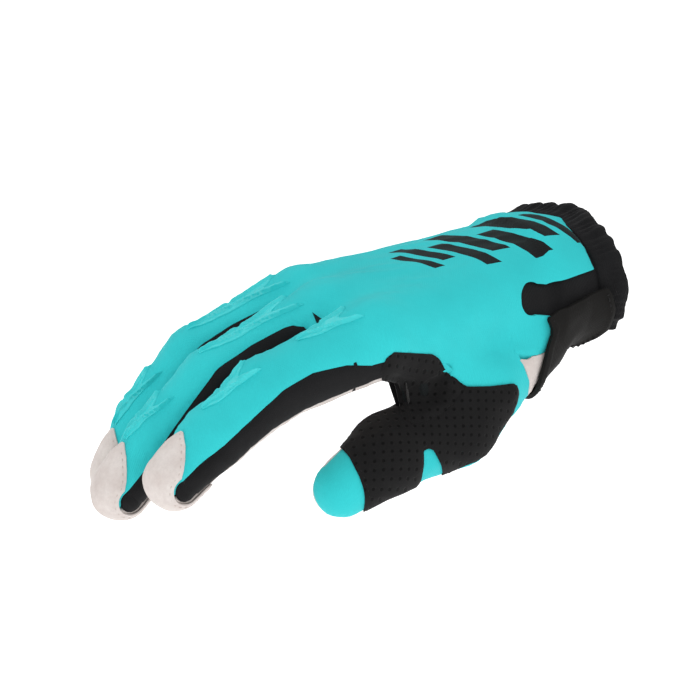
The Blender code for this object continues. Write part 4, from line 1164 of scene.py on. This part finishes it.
# Thread: how long a stitch is, the space to the next, and how far it lies from the edge
STITCH_LENGTH = 0.0017
STITCH_SPACE = 0.0009
STITCH_INSET = 0.0016
THREAD = 0.00022


def rim_loops(name):
    """The borders of a piece as loops of points, each with its inward step and normal."""
    outer, inward, normals, rim = RIMS[name]
    following = {a: b for a, b, _ in rim}
    loops = []
    while following:
        start = next(iter(following))
        loop = [start]
        step = following.pop(start)
        while step in following:
            loop.append(step)
            step = following.pop(step)
        loops.append(np.array(loop))
    return [(outer[loop], inward[loop], normals[loop]) for loop in loops if len(loop) > 3]


def stitches(name, of, look, inset=STITCH_INSET, keep=None):
    """A row of stitches along the border of pieces: short threads that dip at both ends."""
    corners = []
    faces = []
    sides = 6
    for piece in of:
        for line, inward, normals in rim_loops(piece):
            path = line + inward * inset
            if keep is not None:
                path_keep = keep(path)
            closed = np.vstack([path, path[:1]])
            run = np.concatenate([[0], np.cumsum(np.linalg.norm(np.diff(closed, axis=0), axis=1))])
            ups = np.vstack([normals, normals[:1]])
            starts = np.arange(0, run[-1] - STITCH_LENGTH, STITCH_LENGTH + STITCH_SPACE)
            for start in starts:
                at = start + STITCH_LENGTH * np.array((0.0, 0.25, 0.5, 0.75, 1.0))
                spine = np.stack([np.interp(at, run, closed[:, k]) for k in range(3)], -1)
                up = unit(np.stack([np.interp(at, run, ups[:, k]) for k in range(3)], -1))
                if keep is not None and not path_keep[np.searchsorted(run, at[2]) % len(path)]:
                    continue
                if np.linalg.norm(spine[-1] - spine[0]) < 0.6 * STITCH_LENGTH:
                    continue
                along = unit(spine[-1] - spine[0])
                across = unit(np.cross(along, up[2]))
                rise = np.array((-0.00025, 0.0001, 0.0002, 0.0001, -0.00025))
                spine = spine + up * rise[:, None]
                base = len(corners)
                for point, top in zip(spine, up):
                    for k in range(sides):
                        turn = 2 * pi * k / sides
                        corners.append(point + (across * cos(turn) + top * sin(turn)) * THREAD)
                for ring in range(4):
                    for k in range(sides):
                        a = base + ring * sides + k
                        b = base + ring * sides + (k + 1) % sides
                        faces.append([a, b, b + sides, a + sides])
                faces.append([base + k for k in reversed(range(sides))])
                faces.append([base + 4 * sides + k for k in range(sides)])
    return add_mesh(name, corners, faces, look)


class Nodes:
    """A short way to write a material's nodes."""

    def __init__(self, name, colour, roughness):
        self.material = bpy.data.materials.new(name)
        self.material.use_nodes = True
        self.material.diffuse_color = (*colour, 1.0)
        self.tree = self.material.node_tree
        self.shader = self.tree.nodes["Principled BSDF"]
        self.shader.inputs["Base Color"].default_value = (*colour, 1.0)
        self.shader.inputs["Roughness"].default_value = roughness
        self.shader.inputs["Specular IOR Level"].default_value = 0.14
        self.place = self.tree.nodes.new("ShaderNodeTexCoord").outputs["Object"]

    def link(self, source, target):
        self.tree.links.new(source, target)

    def math(self, kind, first, second=0.5, third=None):
        node = self.tree.nodes.new("ShaderNodeMath")
        node.operation = kind
        for i, value in enumerate((first, second, third)):
            if value is None:
                continue
            if isinstance(value, (int, float)):
                node.inputs[i].default_value = value
            else:
                self.link(value, node.inputs[i])
        return node.outputs[0]

    def moved(self, scale, turn=(0.0, 0.0, 0.0)):
        node = self.tree.nodes.new("ShaderNodeMapping")
        node.inputs["Scale"].default_value = scale
        node.inputs["Rotation"].default_value = turn
        self.link(self.place, node.inputs["Vector"])
        return node.outputs[0]

    def noise(self, scale, detail=3.0, rough=0.55, vector=None):
        node = self.tree.nodes.new("ShaderNodeTexNoise")
        node.inputs["Scale"].default_value = scale
        node.inputs["Detail"].default_value = detail
        node.inputs["Roughness"].default_value = rough
        self.link(vector or self.place, node.inputs["Vector"])
        return node.outputs["Fac"]

    def wave(self, scale, vector, distortion=0.0):
        node = self.tree.nodes.new("ShaderNodeTexWave")
        node.wave_type = "BANDS"
        node.bands_direction = "X"
        node.inputs["Scale"].default_value = scale
        node.inputs["Distortion"].default_value = distortion
        self.link(vector, node.inputs["Vector"])
        return node.outputs["Fac"]

    def flat(self, across, along):
        """Coordinates on a plane given by two directions, in metres."""
        join = self.tree.nodes.new("ShaderNodeCombineXYZ")
        for socket, direction in enumerate((across, along)):
            dot = self.tree.nodes.new("ShaderNodeVectorMath")
            dot.operation = "DOT_PRODUCT"
            dot.inputs[1].default_value = direction
            self.link(self.place, dot.inputs[0])
            self.link(dot.outputs["Value"], join.inputs[socket])
        return join.outputs[0]

    def dots(self, scale, vector=None):
        node = self.tree.nodes.new("ShaderNodeTexVoronoi")
        node.inputs["Scale"].default_value = scale
        node.inputs["Randomness"].default_value = 0.0
        self.link(vector or self.place, node.inputs["Vector"])
        return node.outputs["Distance"]

    def ramp(self, source, low, high, first, last):
        node = self.tree.nodes.new("ShaderNodeMapRange")
        node.inputs["From Min"].default_value = low
        node.inputs["From Max"].default_value = high
        node.inputs["To Min"].default_value = first
        node.inputs["To Max"].default_value = last
        self.link(source, node.inputs["Value"])
        return node.outputs[0]

    def mix(self, share, first, second):
        node = self.tree.nodes.new("ShaderNodeMix")
        node.data_type = "RGBA"
        for socket, value in ((node.inputs[6], first), (node.inputs[7], second)):
            if isinstance(value, tuple):
                socket.default_value = (*value, 1.0)
            else:
                self.link(value, socket)
        self.link(share, node.inputs[0])
        return node.outputs[2]

    def bump(self, height, strength, distance):
        node = self.tree.nodes.new("ShaderNodeBump")
        node.inputs["Strength"].default_value = strength
        node.inputs["Distance"].default_value = distance
        self.link(height, node.inputs["Height"])
        self.link(node.outputs[0], self.shader.inputs["Normal"])

    def colour(self, source):
        self.link(source, self.shader.inputs["Base Color"])

    def rough(self, source):
        self.link(source, self.shader.inputs["Roughness"])

    def sheen(self, weight, tint):
        self.shader.inputs["Sheen Weight"].default_value = weight
        self.shader.inputs["Sheen Roughness"].default_value = 0.45
        self.shader.inputs["Sheen Tint"].default_value = (*tint, 1.0)


TEAL = (0.032, 0.575, 0.60)
TEAL_DEEP = (0.024, 0.47, 0.50)
BLACK = (0.0055, 0.0055, 0.006)
BEIGE = (0.62, 0.55, 0.52)

# Bars printed on the back: middle and half-size along the hand and across it, in metres,
# leaning back towards the little finger's side
PRINT_LEAN = 0.42
PRINT_BARS = (
    (0.0005, -0.0100, 0.0030, 0.0120),
    (-0.0095, -0.0030, 0.0036, 0.0150),
    (-0.0205, -0.0125, 0.0040, 0.0120),
    (-0.0315, -0.0030, 0.0040, 0.0140),
    (-0.0420, -0.0115, 0.0034, 0.0120),
    (-0.0515, -0.0030, 0.0028, 0.0110),
    (-0.0600, -0.0090, 0.0022, 0.0090),
)


# The web of the thumb, where the grip goes on under the patch's edge
WEB_SPOT = (14.1, -18.4)
WEB_REACH = 0.0105
WEB_DEPTH = 0.032


def under_patch(nodes, base):
    """Black where the patch lies over the web, as seen in the photograph's view."""
    _, right, up = view_axes()
    spot = VIEW_TARGET + (right * WEB_SPOT[0] + up * WEB_SPOT[1]) / 1000
    seen = []
    for origin, place_at in ((spot, nodes.place), (spot @ np.stack([right, up, up * 0]).T, None)):
        away = nodes.tree.nodes.new("ShaderNodeVectorMath")
        away.operation = "DISTANCE"
        away.inputs[1].default_value = origin
        nodes.link(place_at or nodes.flat(right, up), away.inputs[0])
        reach = WEB_REACH if place_at is None else WEB_DEPTH
        seen.append(nodes.math("LESS_THAN", away.outputs["Value"], reach))
    return nodes.mix(nodes.math("MULTIPLY", *seen), base, BLACK)


def weave(nodes, pitch, strength):
    """Fine crossed threads as a bump, slanted over the hand."""
    first = nodes.wave(pitch, nodes.moved((1.0, 1.0, 1.0), (0.3, 0.2, 0.7)))
    second = nodes.wave(pitch, nodes.moved((1.0, 1.0, 1.0), (0.5, 0.3, -0.9)))
    grain = nodes.noise(900.0, 2.0)
    height = nodes.math("ADD", nodes.math("MULTIPLY", first, second), nodes.math("MULTIPLY", grain, 0.6))
    nodes.bump(height, strength, 0.0002)
    return height


def teal_cloth(printed):
    nodes = Nodes("teal_cloth_printed" if printed else "teal_cloth", TEAL, 0.72)
    height = weave(nodes, 520.0, 0.35)
    patchy = nodes.ramp(nodes.noise(34.0, 4.0), 0.35, 0.7, 0.0, 0.55)
    base = nodes.mix(patchy, TEAL, TEAL_DEEP)
    # Painted shade: the cloth is darkened towards TEAL_DEEP where the weave's bump is low, in the hollows between
    # the threads.
    weave_hollow_shade = nodes.ramp(height, 0.1, 0.9, 0.25, 0.0)
    base = nodes.mix(weave_hollow_shade, base, TEAL_DEEP)
    if printed:
        split = nodes.tree.nodes.new("ShaderNodeSeparateXYZ")
        nodes.link(nodes.place, split.inputs[0])
        lean = nodes.math("MULTIPLY_ADD", split.outputs[1], PRINT_LEAN, split.outputs[0])
        ink = None
        for along, across, half_along, half_across in PRINT_BARS:
            in_along = nodes.math("COMPARE", lean, along, half_along)
            in_across = nodes.math("COMPARE", split.outputs[1], across, half_across)
            bar = nodes.math("MULTIPLY", in_along, in_across)
            ink = bar if ink is None else nodes.math("MAXIMUM", ink, bar)
        upper = nodes.math("GREATER_THAN", split.outputs[2], 0.0)
        ink = nodes.math("MULTIPLY", ink, upper)
        base = nodes.mix(ink, base, BLACK)
    nodes.colour(under_patch(nodes, base))
    nodes.sheen(0.08, (0.5, 1.0, 1.0))
    return nodes.material


def black_cloth():
    nodes = Nodes("black_cloth", BLACK, 0.85)
    weave(nodes, 640.0, 0.4)
    nodes.colour(nodes.mix(nodes.noise(60.0, 4.0), BLACK, (0.012, 0.012, 0.013)))
    nodes.sheen(0.04, (1.0, 1.0, 1.0))
    return nodes.material


def black_grip():
    """Synthetic suede with a grid of small punched holes."""
    nodes = Nodes("black_grip", BLACK, 0.9)
    surface = nodes.flat((0.93, -0.36, -0.05), (0.22, 0.45, 0.86))
    hole = nodes.ramp(nodes.dots(330.0, surface), 0.15, 0.22, 0.0, 1.0)
    grain = nodes.noise(1300.0, 5.0, 0.7)
    height = nodes.math("MULTIPLY_ADD", grain, 0.35, hole)
    nodes.bump(height, 0.6, 0.0003)
    dark = nodes.mix(nodes.noise(80.0, 5.0), BLACK, (0.012, 0.0115, 0.0115))
    # Painted shade: inside the punched holes the colour goes near black, for the shade in them.
    nodes.colour(nodes.mix(hole, (0.002, 0.002, 0.002), dark))
    nodes.sheen(0.05, (1.0, 1.0, 1.0))
    return nodes.material


def black_knit():
    nodes = Nodes("black_knit", BLACK, 0.9)
    weave(nodes, 420.0, 0.6)
    nodes.colour(nodes.mix(nodes.noise(120.0, 4.0), BLACK, (0.013, 0.013, 0.014)))
    nodes.sheen(0.05, (1.0, 1.0, 1.0))
    return nodes.material


def black_strap():
    nodes = Nodes("black_strap", (0.008, 0.0075, 0.007), 0.75)
    weave(nodes, 380.0, 0.35)
    nodes.rough(nodes.ramp(nodes.noise(70.0, 4.0), 0.3, 0.7, 0.68, 0.82))
    return nodes.material


def beige_suede():
    nodes = Nodes("beige_suede", BEIGE, 0.95)
    nap = nodes.noise(700.0, 6.0, 0.75)
    brushed = nodes.noise(95.0, 5.0, 0.6)
    nodes.bump(nodes.math("MULTIPLY_ADD", brushed, 0.6, nap), 0.5, 0.0003)
    pale = nodes.mix(nodes.ramp(brushed, 0.35, 0.7, 0.0, 1.0), BEIGE, (0.74, 0.69, 0.66))
    # Painted shade: the suede is darkened where the nap's bump is low, in its hollows.
    suede = nodes.mix(nodes.ramp(nap, 0.3, 0.75, 0.35, 0.0), pale, (0.42, 0.36, 0.34))
    nodes.colour(under_patch(nodes, suede))
    nodes.sheen(0.2, (1.0, 0.97, 0.95))
    return nodes.material


def teal_moulding():
    nodes = Nodes("teal_moulding", TEAL, 0.42)
    nodes.shader.inputs["Specular IOR Level"].default_value = 0.4
    grain = nodes.noise(500.0, 3.0)
    nodes.bump(grain, 0.12, 0.0001)
    nodes.rough(nodes.ramp(grain, 0.3, 0.7, 0.36, 0.5))
    nodes.colour(nodes.mix(nodes.noise(90.0, 3.0), (0.03, 0.56, 0.58), (0.045, 0.64, 0.66)))
    return nodes.material


def thread_look(name, colour):
    nodes = Nodes(name, colour, 0.6)
    twist = nodes.wave(900.0, nodes.moved((1.0, 1.0, 1.0), (0.4, 0.6, 0.8)))
    nodes.bump(twist, 0.4, 0.0001)
    nodes.colour(nodes.mix(nodes.noise(300.0), colour, tuple(0.75 * c for c in colour)))
    return nodes.material


LOOKS = {
    "teal_printed": teal_cloth(True),
    "teal_cloth": teal_cloth(False),
    "black_cloth": black_cloth(),
    "black_grip": black_grip(),
    "black_knit": black_knit(),
    "black_strap": black_strap(),
    "beige_suede": beige_suede(),
    "teal_moulding": teal_moulding(),
    "teal_thread": thread_look("teal_thread", (0.03, 0.50, 0.52)),
    "black_thread": thread_look("black_thread", (0.02, 0.02, 0.021)),
    "beige_thread": thread_look("beige_thread", (0.60, 0.52, 0.48)),
}


def panels():
    """The sewn panels that make up the hand."""
    back = dress("back_panel", relax(strip_sheet(False), WEB_MIDDLE, WEB_RADIUS), SHELL,
                 "teal_printed")
    cut_slot(back)
    dress("palm_panel", relax(strip_sheet(True), WEB_MIDDLE, WEB_RADIUS), SHELL, "beige_suede")
    for near, far in zip(FINGERS[:-1], FINGERS[1:]):
        dress(f"side_{near}_{far}", between_sheet(near, far), SHELL, "black_cloth")
    outer = outer_sheet("index", -1.0, OUTER_STRIP_START)
    dress("side_index_outer", outer, SHELL, "black_cloth")
    dress("side_little_outer", outer_sheet("little", 1.0, -1.0), SHELL, "black_cloth")
    dress("thumb_back", thumb_sheet(False), SHELL, "teal_cloth")
    dress("thumb_palm", thumb_sheet(True), SHELL, "beige_suede")


def overlays():
    """What is sewn, bonded or strapped over the panels."""
    for finger in FINGERS:
        dress(f"fingertip_wrap_{finger}", wrap_sheet(finger), WRAP_WALL, "beige_suede",
              lift=LAYER_GAP + WRAP_WALL, layer=1)
    for row in GUARD_TABLE:
        guard = dict(zip(GUARD_COLUMNS, row))
        sheet, height = guard_sheet(guard["finger"], guard["start"], guard["end"])
        lift = LAYER_GAP * 0.4 + GUARD_HEIGHT * height
        dress(guard["name"], sheet, GUARD_HEIGHT * 0.9, "teal_moulding",
              lift=lift, edge=0.0, layer=1)
    patch = dress("thumb_patch", patch_sheet(), PATCH_WALL, "black_grip",
                  lift=LAYER_GAP + PATCH_WALL, layer=1)
    names = ("back_panel", "side_index_outer", "palm_panel", "thumb_back", "thumb_palm")
    under = [bpy.data.objects[f"{name}_cloth"] for name in names]
    flap = dress("thumb_flap", flap_sheet(under + [patch]), PATCH_WALL, "black_grip",
                 lift=LAYER_GAP + PATCH_WALL * 0.6, layer=1)
    joined = bmesh.new()
    joined.from_mesh(patch.data)
    joined.from_mesh(flap.data)
    joined.to_mesh(patch.data)
    joined.free()
    bpy.data.objects.remove(flap, do_unlink=True)
    cuff_piece("cuff_band", False, CUFF_FLARE)
    cuff_piece("palm_cuff", True, PALM_CUFF_FLARE)
    gusset_piece()
    strap_piece()


def camera():
    back, right, up = view_axes()
    spot = VIEW_TARGET + back * VIEW_DISTANCE - (right * TARGET_RIGHT + up * TARGET_UP) * PIXEL
    data = bpy.data.cameras.new("camera")
    data.lens = VIEW_LENS
    data.sensor_width = 36.0
    data.clip_start = 0.01
    eye = bpy.data.objects.new("camera", data)
    eye.location = Vector(spot)
    eye.rotation_euler = Vector(back).to_track_quat("Z", "Y").to_euler()
    bpy.context.scene.collection.objects.link(eye)
    bpy.context.scene.camera = eye


# Soft boxes: place, size across and power
LAMPS = (
    ((-0.45, -0.75, 0.85), 0.7, 5.2),
    ((0.75, -0.65, 0.55), 0.7, 2.2),
    ((0.0, 0.6, 0.9), 0.9, 3.0),
    ((-0.9, 0.2, 0.35), 0.6, 1.2),
)
FLOOR_DROP = 0.115


def studio():
    middle = Vector((-0.085, 0.0, -0.01))
    for i, (spot, size, power) in enumerate(LAMPS):
        data = bpy.data.lights.new(f"softbox_{i}", "AREA")
        data.size = size
        data.energy = power
        lamp = bpy.data.objects.new(f"softbox_{i}", data)
        lamp.location = middle + Vector(spot)
        lamp.rotation_euler = Vector(spot).to_track_quat("Z", "Y").to_euler()
        bpy.context.scene.collection.objects.link(lamp)
    world = bpy.data.worlds.new("studio")
    world.use_nodes = True
    world.node_tree.nodes["Background"].inputs["Color"].default_value = (1.0, 1.0, 1.0, 1.0)
    world.node_tree.nodes["Background"].inputs["Strength"].default_value = 0.48
    bpy.context.scene.world = world
    bpy.context.scene.view_settings.view_transform = "Standard"
    mesh = bpy.data.meshes.new("floor")
    half = 6.0
    corners = [(-half, -half, 0.0), (half, -half, 0.0), (half, half, 0.0), (-half, half, 0.0)]
    mesh.from_pydata(corners, [], [(0, 1, 2, 3)])
    floor = bpy.data.objects.new("floor", mesh)
    floor.location.z = CAD_BOX[0][2] - FLOOR_DROP
    bpy.context.scene.collection.objects.link(floor)
    pale = Nodes("pale_floor", (0.93, 0.93, 0.93), 0.9)
    pale.shader.inputs["Emission Color"].default_value = (1.0, 1.0, 1.0, 1.0)
    pale.shader.inputs["Emission Strength"].default_value = 0.6
    mesh.materials.append(pale.material)


def off_flap(path):
    """Which points of the patch's border the flap leaves open."""
    outer = RIMS["thumb_flap"][0]
    tree = KDTree(len(outer))
    for i, point in enumerate(outer):
        tree.insert(point, i)
    tree.balance()
    return np.array([tree.find(p)[2] > 0.0025 for p in path])


def sewing():
    """Rows of stitches along the edges of what is sewn on top."""
    wraps = [f"fingertip_wrap_{finger}" for finger in FINGERS]
    stitches("thumb_patch_stitches", ["thumb_patch"], "black_thread", keep=off_flap)
    stitches("fingertip_stitches", wraps, "beige_thread", inset=0.0013)
    stitches("strap_stitches", ["wrist_strap"], "black_thread", inset=0.0019)


panels()
overlays()
sewing()
camera()
studio()
